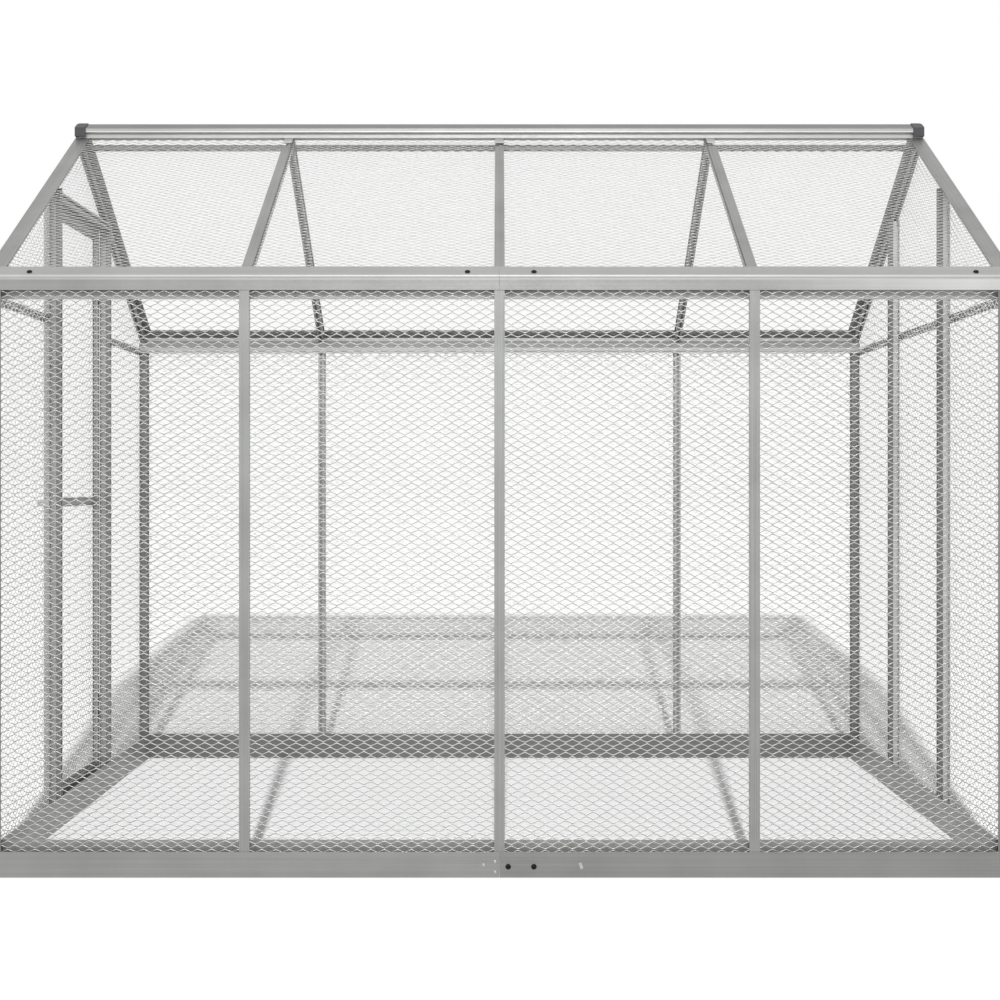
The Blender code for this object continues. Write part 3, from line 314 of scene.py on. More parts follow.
def mill_finish(name, turn, dark="#8C8D8B", pale="#A3A4A2", zones=()):
    """Extruded aluminium whose die lines run along the texture's Z, after the turn. A zone is a
    part with tones of its own: its axis, how far from the middle plane of the cage (or, for Z,
    from the ground) it lies, half its width, the width it fades over, and its two tones."""
    material, tree = new_material(name)
    place = add_node(tree, "ShaderNodeTexCoord").outputs["Object"]
    along = add_node(
        tree,
        "ShaderNodeMapping",
        {"Vector": place, "Rotation": turn, "Scale": (DIE_LINE, DIE_LINE, DIE_RUN)},
        vector_type="TEXTURE",
    )
    lines = add_node(
        tree, "ShaderNodeTexNoise", {"Vector": along.outputs[0], "Scale": 1.0, "Detail": 3.0}
    ).outputs[0]
    clouds = add_node(
        tree, "ShaderNodeTexNoise", {"Vector": place, "Scale": 1 / OXIDE_CLOUD, "Detail": 4.0}
    ).outputs[0]
    specks = add_node(
        tree, "ShaderNodeTexNoise", {"Vector": place, "Scale": 1 / OXIDE_SPECK, "Detail": 2.0}
    ).outputs[0]
    tone = add_node(
        tree, "ShaderNodeMath", {0: clouds, 1: lines}, operation="ADD"
    ).outputs[0]
    tone = add_node(
        tree, "ShaderNodeMapRange", {"Value": tone, "From Min": 0.70, "From Max": 1.30}
    ).outputs[0]
    oxide = add_node(
        tree,
        "ShaderNodeMix",
        {"Factor": tone, "A": linear(dark), "B": linear(pale)},
        data_type="RGBA",
    ).outputs["Result"]
    for axis, centre, half, fade, zone_dark, zone_pale in zones:
        apart = add_node(tree, "ShaderNodeSeparateXYZ", {"Vector": place}).outputs[axis]
        apart = add_node(tree, "ShaderNodeMath", {0: apart}, operation="ABSOLUTE").outputs[0]
        apart = add_node(
            tree, "ShaderNodeMath", {0: apart, 1: centre}, operation="SUBTRACT"
        ).outputs[0]
        apart = add_node(tree, "ShaderNodeMath", {0: apart}, operation="ABSOLUTE").outputs[0]
        inside = add_node(
            tree, "ShaderNodeMapRange", {"Value": apart, "From Min": half + fade, "From Max": half}
        ).outputs[0]
        other = add_node(
            tree,
            "ShaderNodeMix",
            {"Factor": tone, "A": linear(zone_dark), "B": linear(zone_pale)},
            data_type="RGBA",
        ).outputs["Result"]
        oxide = add_node(
            tree, "ShaderNodeMix", {"Factor": inside, "A": oxide, "B": other}, data_type="RGBA"
        ).outputs["Result"]
    surface = add_node(tree, "ShaderNodeNewGeometry").outputs["Normal"]
    rounded = add_node(tree, "ShaderNodeBevel", {"Radius": WORN_EDGE}, samples=4).outputs[0]
    flatness = add_node(
        tree, "ShaderNodeVectorMath", {0: surface, 1: rounded}, operation="DOT_PRODUCT"
    ).outputs["Value"]
    worn = add_node(
        tree,
        "ShaderNodeMapRange",
        {"Value": flatness, "From Min": 0.995, "From Max": 0.90, "To Max": 0.5},
    ).outputs[0]
    colour = add_node(
        tree, "ShaderNodeMix", {"Factor": worn, "A": oxide, "B": linear(RUBBED)}, data_type="RGBA"
    ).outputs["Result"]
    dull = add_node(
        tree, "ShaderNodeMapRange", {"Value": specks, "To Min": SATIN[0], "To Max": SATIN[1]}
    ).outputs[0]
    relief = add_node(
        tree,
        "ShaderNodeBump",
        {"Height": lines, "Strength": 0.25, "Distance": LINE_DEPTH, "Normal": rounded},
    ).outputs[0]
    metal = add_node(
        tree,
        "ShaderNodeBsdfPrincipled",
        {"Base Color": colour, "Metallic": OXIDE_METALLIC, "Roughness": dull, "Normal": relief},
    )
    add_node(tree, "ShaderNodeOutputMaterial", {"Surface": metal.outputs[0]})
    return material


print("oxide clouds, mm:", round(1000 * OXIDE_CLOUD))

# %% [markdown]
# ### Uprights
# Posts, studs and the door's stiles stand, so their lines run along Z with no turn. Their tones
# paint light and shade. On the gables the inside of a channel is painted darker than the face, as
# shade, and the face is painted paler, as light. On the long walls the channel is painted paler,
# as light. The outer face of the right gable's uprights has the tone of most other bars.

# %% Finish of the uprights
STANDING = (0, 0, 0)
GABLE_CHANNEL, GABLE_CHANNEL_HALF = 1.167, 0.017
# Painted light: the channel of the long walls' studs is painted paler than their face.
WALL_CHANNEL = ("Y", 0.8635, 0.0200, CRISP, "#9E9F9D", "#AEAFAD")
# Painted shade: the gables' channels are painted darker than the face.
RIGHT_CHANNEL = ("X", GABLE_CHANNEL, GABLE_CHANNEL_HALF, CRISP, "#6E6F6D", "#7E7F7D")
# The right gable's outer face keeps the tone of most bars, without the painted light.
RIGHT_OUTER_FACE = ("X", 1.210, 0.0083, CRISP, "#8C8D8B", "#A3A4A2")
LEFT_CHANNEL = ("X", GABLE_CHANNEL, GABLE_CHANNEL_HALF, CRISP, "#7C7D7B", "#8C8D8B")

upright_bar = mill_finish("mill_aluminium_upright", STANDING, "#727371", "#868785")
wall_upright = mill_finish(
    "mill_aluminium_wall_upright", STANDING, "#888987", "#9E9F9D", [WALL_CHANNEL]
)
# Painted light: the right gable's uprights are painted pale, except their outer face.
right_upright = mill_finish(
    "mill_aluminium_right_upright",
    STANDING,
    "#C6C7C5",
    "#D6D7D5",
    [RIGHT_CHANNEL, RIGHT_OUTER_FACE],
)
# Painted light and shade: the left gable's uprights are painted pale, their channel darker.
left_upright = mill_finish(
    "mill_aluminium_left_upright", STANDING, "#A8A9A7", "#B6B7B5", [LEFT_CHANNEL]
)
print("materials so far:", len(bpy.data.materials))

# %% [markdown]
# ### Eave and ridge
# These two run along X. The eave's lip at its foot is painted paler, as light in the shade under
# the eave's face. The bead along its edge carries a painted highlight, and the flange that lies on
# the rafters is painted paler, as light on a face turned up to the lamp. The right half of the
# front eave grows paler towards its end, a painted reflection. The ridge has a darker box. Below
# it the wing's lip is painted darker, painted shade that tones down the lamp's highlight, and the
# lip's
# lower edge is painted palest: a painted highlight, with painted light in the shade just under it.

# %% Finish of the eaves and the ridge
ALONG_X = (0, math.pi / 2, 0)
EAVE_TOP = 1.406
# Painted light on the eave's lip and flange, and a painted highlight on its bead.
EAVE_LIP = ("Z", EAVE_TOP - 0.0520, 0.0150, CRISP, "#B0B1AF", "#C0C1BF")
EAVE_BEAD = ("Z", EAVE_TOP - 0.0060, 0.0060, CRISP, "#B4B5B3", "#C0C1BF")
EAVE_FLANGE = ("Z", EAVE_TOP + 0.0200, 0.0197, CRISP, "#ACADAB", "#BCBDBB")
EAVE_ZONES = [EAVE_LIP, EAVE_BEAD, EAVE_FLANGE]
# Painted reflection: the front eave grows paler towards its right end.
PAINTED_REFLECTION_END = ("X", 1.205, 0.10, 0.50, "#BABBB9", "#C8C9C7")
RIDGE_BOX = ("Z", 1.9300, 0.0105, CRISP, "#848583", "#929391")
# Painted shade on the ridge's lip, against the lamp's highlight. Its lower edge has a painted
# highlight, with painted light in the shade just under it.
RIDGE_LIP = ("Z", 1.9160, 0.0035, CRISP, "#9E9F9D", "#ACADAB")
RIDGE_LIP_EDGE = ("Z", 1.9105, 0.0020, CRISP, "#D0D1CF", "#D8D9D7")

eave_bar = mill_finish("mill_aluminium_eave", ALONG_X, "#8A8B89", "#9A9B99", EAVE_ZONES)
eave_right_bar = mill_finish(
    "mill_aluminium_eave_right", ALONG_X, "#8A8B89", "#9A9B99", [PAINTED_REFLECTION_END] + EAVE_ZONES
)
ridge_bar = mill_finish(
    "mill_aluminium_ridge",
    ALONG_X,
    "#ACADAB",
    "#B8B9B7",
    [RIDGE_BOX, RIDGE_LIP, RIDGE_LIP_EDGE],
)
print("materials so far:", len(bpy.data.materials))

# %% [markdown]
# ### Base rails, ties and rafters
# The two lengths of the front base rail differ a little, as billets do, and both have a paler
# inner edge, painted light that lifts the shade on it. The back one is darker. A rafter's lines
# run up the slope, so its turn is worked out from the roof's pitch.

# %% Finish of the other bars
ALONG_Y = (math.pi / 2, 0, 0)
ROOF_PITCH = math.radians(29.4)
UP_THE_FRONT = (ROOF_PITCH - math.pi / 2, 0, 0)
UP_THE_BACK = (math.pi / 2 - ROOF_PITCH, 0, 0)
# Painted light: the inner edge of the base rail is painted paler, lifting its shade.
BASE_INNER_EDGE = ("Y", 0.845, 0.040, CRISP, "#A2A3A1", "#AEAFAD")

base_left_bar = mill_finish(
    "mill_aluminium_base_left", ALONG_X, "#8A8B89", "#989997", [BASE_INNER_EDGE]
)
base_right_bar = mill_finish(
    "mill_aluminium_base_right", ALONG_X, "#838482", "#90918F", [BASE_INNER_EDGE]
)
base_back_bar = mill_finish("mill_aluminium_base_back", ALONG_X, "#727371", "#80817F")
long_bar = mill_finish("mill_aluminium_along_x", ALONG_X)
deep_bar = mill_finish("mill_aluminium_along_y", ALONG_Y)
front_slope_bar = mill_finish("mill_aluminium_front_slope", UP_THE_FRONT, "#949593", "#ABACAA")
back_slope_bar = mill_finish("mill_aluminium_back_slope", UP_THE_BACK)
print("materials so far:", len(bpy.data.materials))

# %% [markdown]
# The CAD nodes keep their shape. Each gets the recipe that fits the direction it was extruded
# in. Where two starts of a name fit, the later one in the table counts.

# %% Finish for every bar
bar_finishes = {
    "post_": upright_bar,
    "stud_": wall_upright,
    "stud_right": right_upright,
    "stud_door": left_upright,
    "door_stile": left_upright,
    "eave_": eave_bar,
    "eave_front_right": eave_right_bar,
    "ridge": ridge_bar,
    "ridge_bar": long_bar,
    "base_front_left": base_left_bar,
    "base_front_right": base_right_bar,
    "base_back": base_back_bar,
    "base_right": deep_bar,
    "base_left": deep_bar,
    "tie_": deep_bar,
    "door_header": deep_bar,
    "door_rail": deep_bar,
    "rafter_front": front_slope_bar,
    "rafter_back": back_slope_bar,
}


def coat(name, material):
    """Gives a CAD node one material."""
    nodes[name].data.materials.clear()
    nodes[name].data.materials.append(material)


finished = 0
for name in nodes:
    finishes = [look for start, look in bar_finishes.items() if name.startswith(start)]
    if finishes:
        coat(name, finishes[-1])
        finished += 1
print("bars finished:", finished)

# %% [markdown]
# ## Ridge end caps and door fittings
# The black caps that close the ridge are injection moulded, in a weatherproof plastic that goes
# slightly grey outdoors. The hinges and the slide bolt are steel with a bright zinc plating.

# %% Moulded plastic
PLASTIC_GRAIN = 0.0012
PLASTIC_FADE = 0.03
CAP_ROUNDING = 0.0012


def moulded_plastic():
    """Polypropylene from a fine-grained mould: near black, satin, with faded blotches."""
    material, tree = new_material("moulded_black_polypropylene")
    place = add_node(tree, "ShaderNodeTexCoord").outputs["Object"]
    grain = add_node(
        tree, "ShaderNodeTexNoise", {"Vector": place, "Scale": 1 / PLASTIC_GRAIN, "Detail": 2.0}
    ).outputs[0]
    fade = add_node(
        tree, "ShaderNodeTexNoise", {"Vector": place, "Scale": 1 / PLASTIC_FADE, "Detail": 3.0}
    ).outputs[0]
    colour = add_node(
        tree,
        "ShaderNodeMix",
        {"Factor": fade, "A": linear("#2C2D30"), "B": linear("#4C4D50")},
        data_type="RGBA",
    ).outputs["Result"]
    dull = add_node(
        tree, "ShaderNodeMapRange", {"Value": grain, "To Min": 0.36, "To Max": 0.52}
    ).outputs[0]
    rounded = add_node(tree, "ShaderNodeBevel", {"Radius": CAP_ROUNDING}, samples=4).outputs[0]
    relief = add_node(
        tree,
        "ShaderNodeBump",
        {"Height": grain, "Strength": 0.3, "Distance": 0.0002, "Normal": rounded},
    ).outputs[0]
    plastic = add_node(
        tree,
        "ShaderNodeBsdfPrincipled",
        {"Base Color": colour, "Roughness": dull, "IOR": 1.49, "Normal": relief},
    )
    add_node(tree, "ShaderNodeOutputMaterial", {"Surface": plastic.outputs[0]})
    return material


cap_plastic = moulded_plastic()
for name in ("ridge_cap_left", "ridge_cap_right"):
    coat(name, cap_plastic)
print("caps finished")

# %% [markdown]
# ### Steel
# Zinc plating is never quite even and shows soft blotches, here 8 mm across. The bolts are
# blackened in a hot bath, which leaves clouds about half as large. One recipe makes both: a
# bright fitting with a slightly broken shine, and a near black head with a dull one.

# %% Zinc plating and black steel
def plated_steel(name, dark, pale, roughness, cell):
    """Steel with a thin plating: a blotchy tone, in crystals or clouds of the cell's size, and a
    roughness that goes with it."""
    material, tree = new_material(name)
    place = add_node(tree, "ShaderNodeTexCoord").outputs["Object"]
    spangle = add_node(
        tree, "ShaderNodeTexNoise", {"Vector": place, "Scale": 1 / cell, "Detail": 4.0}
    ).outputs[0]
    colour = add_node(
        tree,
        "ShaderNodeMix",
        {"Factor": spangle, "A": linear(dark), "B": linear(pale)},
        data_type="RGBA",
    ).outputs["Result"]
    dull = add_node(
        tree,
        "ShaderNodeMapRange",
        {"Value": spangle, "To Min": roughness - 0.08, "To Max": roughness + 0.10},
    ).outputs[0]
    relief = add_node(
        tree, "ShaderNodeBump", {"Height": spangle, "Strength": 0.2, "Distance": 0.0001}
    ).outputs[0]
    metal = add_node(
        tree,
        "ShaderNodeBsdfPrincipled",
        {"Base Color": colour, "Metallic": 1.0, "Roughness": dull, "Normal": relief},
    )
    add_node(tree, "ShaderNodeOutputMaterial", {"Surface": metal.outputs[0]})
    return material


ZINC_CRYSTAL = 0.008
BLACK_CLOUD = 0.004
zinc_plate = plated_steel("zinc_plated_steel", "#9FA2A4", "#CDD0D2", 0.30, ZINC_CRYSTAL)
black_steel = plated_steel("black_oxide_steel", "#17181A", "#2E3033", 0.42, BLACK_CLOUD)
for name in ("hinge_lower", "hinge_upper", "latch_housing", "latch_bolt", "latch_keeper"):
    coat(name, zinc_plate)
print("fittings finished")

# %% [markdown]
# ## Diamond mesh
# Expanded metal is made from one aluminium sheet: a press cuts rows of staggered slits and pulls
# the sheet open, and each slit becomes a diamond. Here the diamonds are 31.7 mm long and 19.9 mm
# high, as the picture's repeat of 13.6 by 8.54 pixels gives. Each strand is 1.9 mm wide between
# the knots and 2.6 mm at them, where two rows hold together. The strands come out tilted, all the
# same way, because each row was bent out of the sheet. In the picture the near side of the cage
# shows dark strands and the far side hardly shows at all: the outer face is weathered grey, and
# the inner face and the cut edges are still bright, so against a white room they vanish.
#
# This could be a picture of a mesh with holes in it, but that has no thickness and goes grey from
# the side. Real strands are built instead: each row is one zigzag ribbon that touches the row
# above at its crests and the row below at its troughs. NumPy works out all ends at once.

# %% Ends of the strands
DIAMOND_LONG = 0.0317
DIAMOND_SHORT = 0.0199
KNOT_WIDE = 0.0026
STRAND_WIDE = 0.0019
STRAND_THICK = 0.0004
# At a knot, each ribbon's middle stays this part of the knot's width off the knot's centre.
KNOT_SHARE = 0.42
# A strand is made if more than this part of it lies inside the sheet.
SHORTEST_BIT = 0.02


def steps(values, start, step):
    """Whole steps from a start that cover all values, with one to spare at both ends."""
    return range(int((min(values) - start) // step) - 1, int((max(values) - start) // step) + 2)


def ribbon_ends(field, start_u, start_v):
    """Ends of every strand in a convex field, where along it the kept part starts and ends, its
    row and its column."""
    half_long, half_short = DIAMOND_LONG / 2, DIAMOND_SHORT / 2
    us, vs = zip(*field)
    grid = np.meshgrid(steps(vs, start_v, half_short), steps(us, start_u, half_long))
    rows, columns = [a.ravel() for a in grid]
    slope = half_short / half_long
    knot = KNOT_WIDE * math.sqrt(1 + slope * slope) * KNOT_SHARE

    def centre(row, column):
        crest = (row + column) % 2
        level = (row + crest) * half_short + np.where(crest == 1, -knot, knot)
        return np.stack([start_u + column * half_long, start_v + level], 1)

    a, b = centre(rows, columns), centre(rows, columns + 1)
    enter, leave = np.zeros(len(a)), np.ones(len(a))
    for (u0, v0), (u1, v1) in zip(field, field[1:] + field[:1]):
        inward = np.array([v0 - v1, u1 - u0])
        da = (a - (u0, v0)) @ inward
        db = (b - (u0, v0)) @ inward
        with np.errstate(divide="ignore", invalid="ignore"):
            crossing = da / (da - db)
        enter = np.where((da < 0) & (db >= 0), np.maximum(enter, crossing), enter)
        leave = np.where((da >= 0) & (db < 0), np.minimum(leave, crossing), leave)
        leave = np.where((da < 0) & (db < 0), -1, leave)
    kept = leave > enter + SHORTEST_BIT
    return a[kept], b[kept], enter[kept], leave[kept], rows[kept], columns[kept]


print("strands for each square metre:", round(2 / (DIAMOND_LONG * DIAMOND_SHORT / 2)))

# %% [markdown]
# The cage has some 800,000 of these small faces, and adding them one at a time would be slow.
# Blender also takes whole lists of numbers at once, and all sheets then take a few seconds. Every
# mesh gets its UV map here, which lays the sheet out flat.

# %% A mesh from lists of points and faces
def mesh_from_quads(name, flat, quads, place):
    """A mesh of four-sided faces. Its points are given flat, as u, v and depth, and the function
    place puts them where they belong. The UV map is the flat sheet."""
    mesh = bpy.data.meshes.new(name)
    mesh.vertices.add(len(flat))
    mesh.vertices.foreach_set("co", place(flat).astype(np.float32).ravel())
    mesh.loops.add(quads.size)
    mesh.loops.foreach_set("vertex_index", quads.astype(np.int32).ravel())
    mesh.polygons.add(len(quads))
    mesh.polygons.foreach_set("loop_start", np.arange(0, quads.size, 4, dtype=np.int32))
    mesh.polygons.foreach_set("loop_total", np.full(len(quads), 4, np.int32))
    mesh.update(calc_edges=True)
    uv = mesh.uv_layers.new(name="OFBake")
    spread = flat[quads.ravel(), :2]
    spread = (spread - flat[:, :2].min(0)) / np.ptp(flat[:, :2], axis=0).max()
    uv.data.foreach_set("uv", spread.astype(np.float32).ravel())
    return mesh


square = np.array([[0.0, 0, 0], [1, 0, 0], [1, 1, 0], [0, 1, 0]])
trial = mesh_from_quads("trial_square", square, np.array([[0, 1, 2, 3]]), lambda flat: flat)
print("trial square:", len(trial.polygons), "face,", len(trial.edges), "edges")
bpy.data.meshes.remove(trial)

# %% [markdown]
# A strand is a flat bar: an upper edge, an inner face, a lower edge and an outer face. It is
# widest at its two knots, so it has a ring of four points at both ends and one in the middle.
# Neighbours share the rings at the knots, and a strand cut off by the sheet's rim gets an end
# face of its own.

# %% Strands of one sheet
# How bright each side of a strand is: upper edge, inner face, lower edge, outer face.
SIDE_BRIGHT = (0.85, 1.0, 0.85, 0.0)


def strand_mesh(name, field, first_knot, place, tilt):
    """Mesh of all strands in a field. Place turns u, v and depth into a place. Each strand has a
    ring at both ends, shared at the knots, and a thinner one between them."""
    stretch = math.sqrt(1 + (DIAMOND_SHORT / DIAMOND_LONG) ** 2)
    c, s = math.cos(math.radians(tilt)), math.sin(math.radians(tilt))
    a, b, enter, leave, row, column = ribbon_ends(field, *first_knot)
    count = len(a)
    own = np.arange(count)

    def rings(part):
        """Four points round each strand, at that part of its way from knot to knot."""
        half_wide = (STRAND_WIDE + (KNOT_WIDE - STRAND_WIDE) * np.abs(1 - 2 * part)) * stretch / 2
        centre = a + (b - a) * part[:, None]
        ring = np.empty((count, 4, 3))
        for k, (across, out) in enumerate(((1, 1), (1, -1), (-1, -1), (-1, 1))):
            thick = out * STRAND_THICK / 2
            ring[:, k, 0] = centre[:, 0]
            ring[:, k, 1] = centre[:, 1] + across * half_wide * c - thick * s
            ring[:, k, 2] = across * half_wide * s + thick * c
        return ring

    a_key = np.stack([row, column, np.where(enter > 0, own + 1, 0)], 1)
    b_key = np.stack([row, column + 1, np.where(leave < 1, own + 1 + count, 0)], 1)
    unique, which = np.unique(np.concatenate([a_key, b_key]), axis=0, return_inverse=True)
    which = which.ravel()
    at_ends = np.zeros((len(unique), 4, 3))
    at_ends[which] = np.concatenate([rings(enter), rings(leave)])
    flat = np.concatenate([at_ends, rings((enter + leave) / 2)]).reshape(-1, 3)
    near, far, middle = which[:count] * 4, which[count:] * 4, (len(unique) + own) * 4
    faces, sides = [], []
    for k in range(4):
        n = (k + 1) % 4
        for p, q in ((near, middle), (middle, far)):
            faces.append(np.stack([p + k, p + n, q + n, q + k], 1))
            sides.append(np.full(count, k))
    starts, ends = near[enter > 0], far[leave < 1]
    faces.append(np.stack([starts + k for k in (3, 2, 1, 0)], 1))
    faces.append(np.stack([ends + k for k in range(4)], 1))
    sides.append(np.zeros(len(starts) + len(ends)))
    mesh = mesh_from_quads(name, flat, np.concatenate(faces), place)
    side = np.concatenate(sides).astype(int)
    bright = mesh.attributes.new("bright_side", "FLOAT", "FACE")
    bright.data.foreach_set("value", np.array(SIDE_BRIGHT, np.float32)[side])
    return mesh


print("brightness of the four sides:", SIDE_BRIGHT)

# %% [markdown]
# ### The mesh's own finish
# The sheet is the same alloy as the bars, dulled by the press. Its outer face carries the grey
# skin, and the inner face and the cut edges are bright. The strand mesh says for each face how
# bright it is. Over a few hundred millimetres the grey varies, as the oxide does.

# %% Mesh material
MESH_CLOUD = 0.220
ROLLING_MARK = 0.0015


def pressed_sheet():
    """Expanded aluminium sheet: satin grey, a little uneven, with roughness from rolling."""
    material, tree = new_material("expanded_aluminium_sheet")
    place = add_node(tree, "ShaderNodeTexCoord").outputs["Object"]
    clouds = add_node(
        tree, "ShaderNodeTexNoise", {"Vector": place, "Scale": 1 / MESH_CLOUD, "Detail": 3.0}
    ).outputs[0]
    rolled = add_node(
        tree, "ShaderNodeTexNoise", {"Vector": place, "Scale": 1 / ROLLING_MARK, "Detail": 1.0}
    ).outputs[0]
    grey = add_node(
        tree,
        "ShaderNodeMix",
        {"Factor": clouds, "A": linear("#B0B1AF"), "B": linear("#C2C3C1")},
        data_type="RGBA",
    ).outputs["Result"]
    bright = add_node(tree, "ShaderNodeAttribute", attribute_name="bright_side").outputs["Fac"]
    colour = add_node(
        tree,
        "ShaderNodeMix",
        {"Factor": bright, "A": grey, "B": linear("#FDFDFC")},
        data_type="RGBA",
    ).outputs["Result"]
    dull = add_node(
        tree, "ShaderNodeMapRange", {"Value": rolled, "To Min": 0.30, "To Max": 0.42}
    ).outputs[0]
    metal = add_node(
        tree,
        "ShaderNodeBsdfPrincipled",
        {"Base Color": colour, "Metallic": 0.85, "Roughness": dull},
    )
    add_node(tree, "ShaderNodeOutputMaterial", {"Surface": metal.outputs[0]})
    return material


sheet_metal = pressed_sheet()
print("mesh material:", sheet_metal.name)

# %% [markdown]
# ### Hanging a sheet
# The CAD model has a coarse net where each mesh goes. A real sheet takes its place: it gets the
# net's plane, its outline and its body, and one piece for each bay.

# %% A sheet in place of a net
STRAND_TILT = 15


def hang_sheet(node, bays, origin, u_axis, v_axis, outward, body="frame", tilt=STRAND_TILT):
    """Sheets of mesh, one for each bay, in place of the CAD net of that name."""
    vectors = (origin, u_axis, v_axis, outward)
    origin, u_axis, v_axis, outward = (np.array(v, float) for v in vectors)

    def place(p):
        """Flat points as places in the scene."""
        return origin + p[:, :1] * u_axis + p[:, 1:2] * v_axis + p[:, 2:] * outward

    for index, (field, first_knot) in enumerate(bays):
        name = f"{node}_strands_{index + 1}"
        mesh = strand_mesh(name, field, first_knot, place, tilt)
        mesh.materials.append(sheet_metal)
        sheet = bpy.data.objects.new(name, mesh)
        bpy.context.scene.collection.objects.link(sheet)
        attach(sheet, body)
        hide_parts(node)
        print(name, "faces:", len(mesh.polygons))


print("strand tilt, degrees:", STRAND_TILT)

# %% [markdown]
# ### Walls
# Each bay is one piece of mesh between two webs, so the pattern starts anew in every bay, as it
# does in the picture. For the front bays the place of one knot was read off the picture. The
# sheet's edges stop inside the grooves of the bars.

# %% Front and back walls
BAR_SET_IN = 0.0023
BAR_FACE = 0.0243
WEB_ROOM = 0.0014
FRAME_WIDTH, FRAME_DEPTH = 2.410, 1.780
BAYS_WIDE, BAYS_DEEP = 4, 3
GRID_LINE = BAR_SET_IN + BAR_FACE / 2
PITCH_WIDE = (FRAME_WIDTH - 2 * GRID_LINE) / BAYS_WIDE
PITCH_DEEP = (FRAME_DEPTH - 2 * GRID_LINE) / BAYS_DEEP


def rectangle(low_u, high_u, low_v, high_v):
    """Four corners, in anticlockwise order."""
    return [(low_u, low_v), (high_u, low_v), (high_u, high_v), (low_u, high_v)]


def in_bays(low_u, high_u, low_v, high_v, webs, starts):
    """Rectangular bays between webs, each with its own first knot."""
    edges = [low_u]
    for web in webs:
        edges += [web - WEB_ROOM, web + WEB_ROOM]
    edges.append(high_u)
    pairs = zip(edges[0::2], edges[1::2])
    return [(rectangle(a, b, low_v, high_v), start) for (a, b), start in zip(pairs, starts)]


def shifted(start, step, count):
    """A first knot for each bay, one step further on from bay to bay."""
    return [(start[0] + step[0] * k, start[1] + step[1] * k) for k in range(count)]


FRONT_KNOTS = ((191.3, 486.2), (411.5, 482.3), (586.0, 483.0), (806.6, 486.4))
BACK_START, BACK_STEP = (0.004, 0.051), (0.0071, 0.0043)
stud_xs = [(k - BAYS_WIDE / 2) * PITCH_WIDE for k in range(1, BAYS_WIDE)]
for node, side in (("mesh_front", -1), ("mesh_back", 1)):
    low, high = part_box(node)
    mesh_y = (low.y + high.y) / 2
    if side < 0:
        knots = [place_at(pixel_x, pixel_y, mesh_y) for pixel_x, pixel_y in FRONT_KNOTS]
        starts = [(knot.x, knot.z) for knot in knots]
    else:
        starts = shifted(BACK_START, BACK_STEP, BAYS_WIDE)
    hang_sheet(
        node,
        in_bays(low.x, high.x, low.z, high.z, stud_xs, starts),
        (0, mesh_y, 0),
        (1, 0, 0),
        (0, 0, 1),
        (0, side, 0),
    )

# %% [markdown]
# ### Roof
# The same mesh lies under the rafters' faces. Its rows run along the ridge. In the picture the
# front slope's strands look thin, so they lie almost flat in the sheet, which is seen at a low
# angle. The back slope hardly shows at all, so its strands are tilted until they lie level, and
# the picture sees them almost edge on.

# %% Roof slopes
NET_THICK = 0.0018
FRONT_SLOPE_TILT, BACK_SLOPE_TILT = -3, -30
ROOF_START, ROOF_STEP = (0, 0.003), (0.009, 0.0052)
for node, side in (("mesh_roof_front", -1), ("mesh_roof_back", 1)):
    low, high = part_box(node)
    foot_y = low.y if side < 0 else high.y
    run = high.y - low.y - NET_THICK * math.sin(ROOF_PITCH)
    up_slope = (0, -side * math.cos(ROOF_PITCH), math.sin(ROOF_PITCH))
    outward = (0, side * math.sin(ROOF_PITCH), math.cos(ROOF_PITCH))
    middle = NET_THICK / 2 / math.cos(ROOF_PITCH)
    starts = shifted(ROOF_START, ROOF_STEP, BAYS_WIDE)
    hang_sheet(
        node,
        in_bays(low.x, high.x, 0, run / math.cos(ROOF_PITCH), stud_xs, starts),
        (0, foot_y, low.z + middle),
        (1, 0, 0),
        up_slope,
        outward,
        tilt=FRONT_SLOPE_TILT if side < 0 else BACK_SLOPE_TILT,
    )
print("roof pitch, degrees:", round(math.degrees(ROOF_PITCH), 1))

# %% [markdown]
# ### Gables
# A gable bay runs from the base rail up to the rafter above it, so its top slopes at the roof's
# pitch, and the middle bay of the right gable ends in a point. The gables are seen at a low angle
# from the front, and their strands are tilted less than the walls', so that they look as thin as
# the picture's.

# %% Right gable, and the two bays beside the door
GABLE_TILT = 7
GABLE_START, GABLE_STEP = (0, 0.0537), (0.006, 0.0047)
UNDER_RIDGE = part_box("mesh_right")[1].z


def under_rafter(y):
    """Height of the mesh's upper edge at that y."""
    return UNDER_RIDGE - abs(y) * math.tan(ROOF_PITCH)


def gable_bay(low_y, high_y, low_z, start):
    """Field from low_z up to the rafters, as points in y and z, in anticlockwise order."""
    points = [(low_y, low_z), (high_y, low_z), (high_y, under_rafter(high_y))]
    if low_y < 0 < high_y:
        points.append((0, under_rafter(0)))
    return points + [(low_y, under_rafter(low_y))], start


stud_y = PITCH_DEEP / 2
for node, side, spans in (
    ("mesh_right", 1, ((-1, -stud_y), (-stud_y, stud_y), (stud_y, 1))),
    ("mesh_left_front", -1, ((-1, -stud_y),)),
    ("mesh_left_back", -1, ((stud_y, 1),)),
):
    low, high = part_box(node)
    mesh_x = (low.x + high.x) / 2
    bays = []
    for (start_y, end_y), start in zip(spans, shifted(GABLE_START, GABLE_STEP, BAYS_DEEP)):
        low_y = max(low.y, start_y + WEB_ROOM)
        high_y = min(high.y, end_y - WEB_ROOM)
        bays.append(gable_bay(low_y, high_y, low.z, start))
    hang_sheet(node, bays, (mesh_x, 0, 0), (0, 1, 0), (0, 0, 1), (side, 0, 0), tilt=GABLE_TILT)
print("height under the ridge, m:", round(UNDER_RIDGE, 3))

# %% [markdown]
# The piece over the doorway hangs in the gable. The door's two panes are of the same mesh, but
# they ride with the door, so that they swing with it.

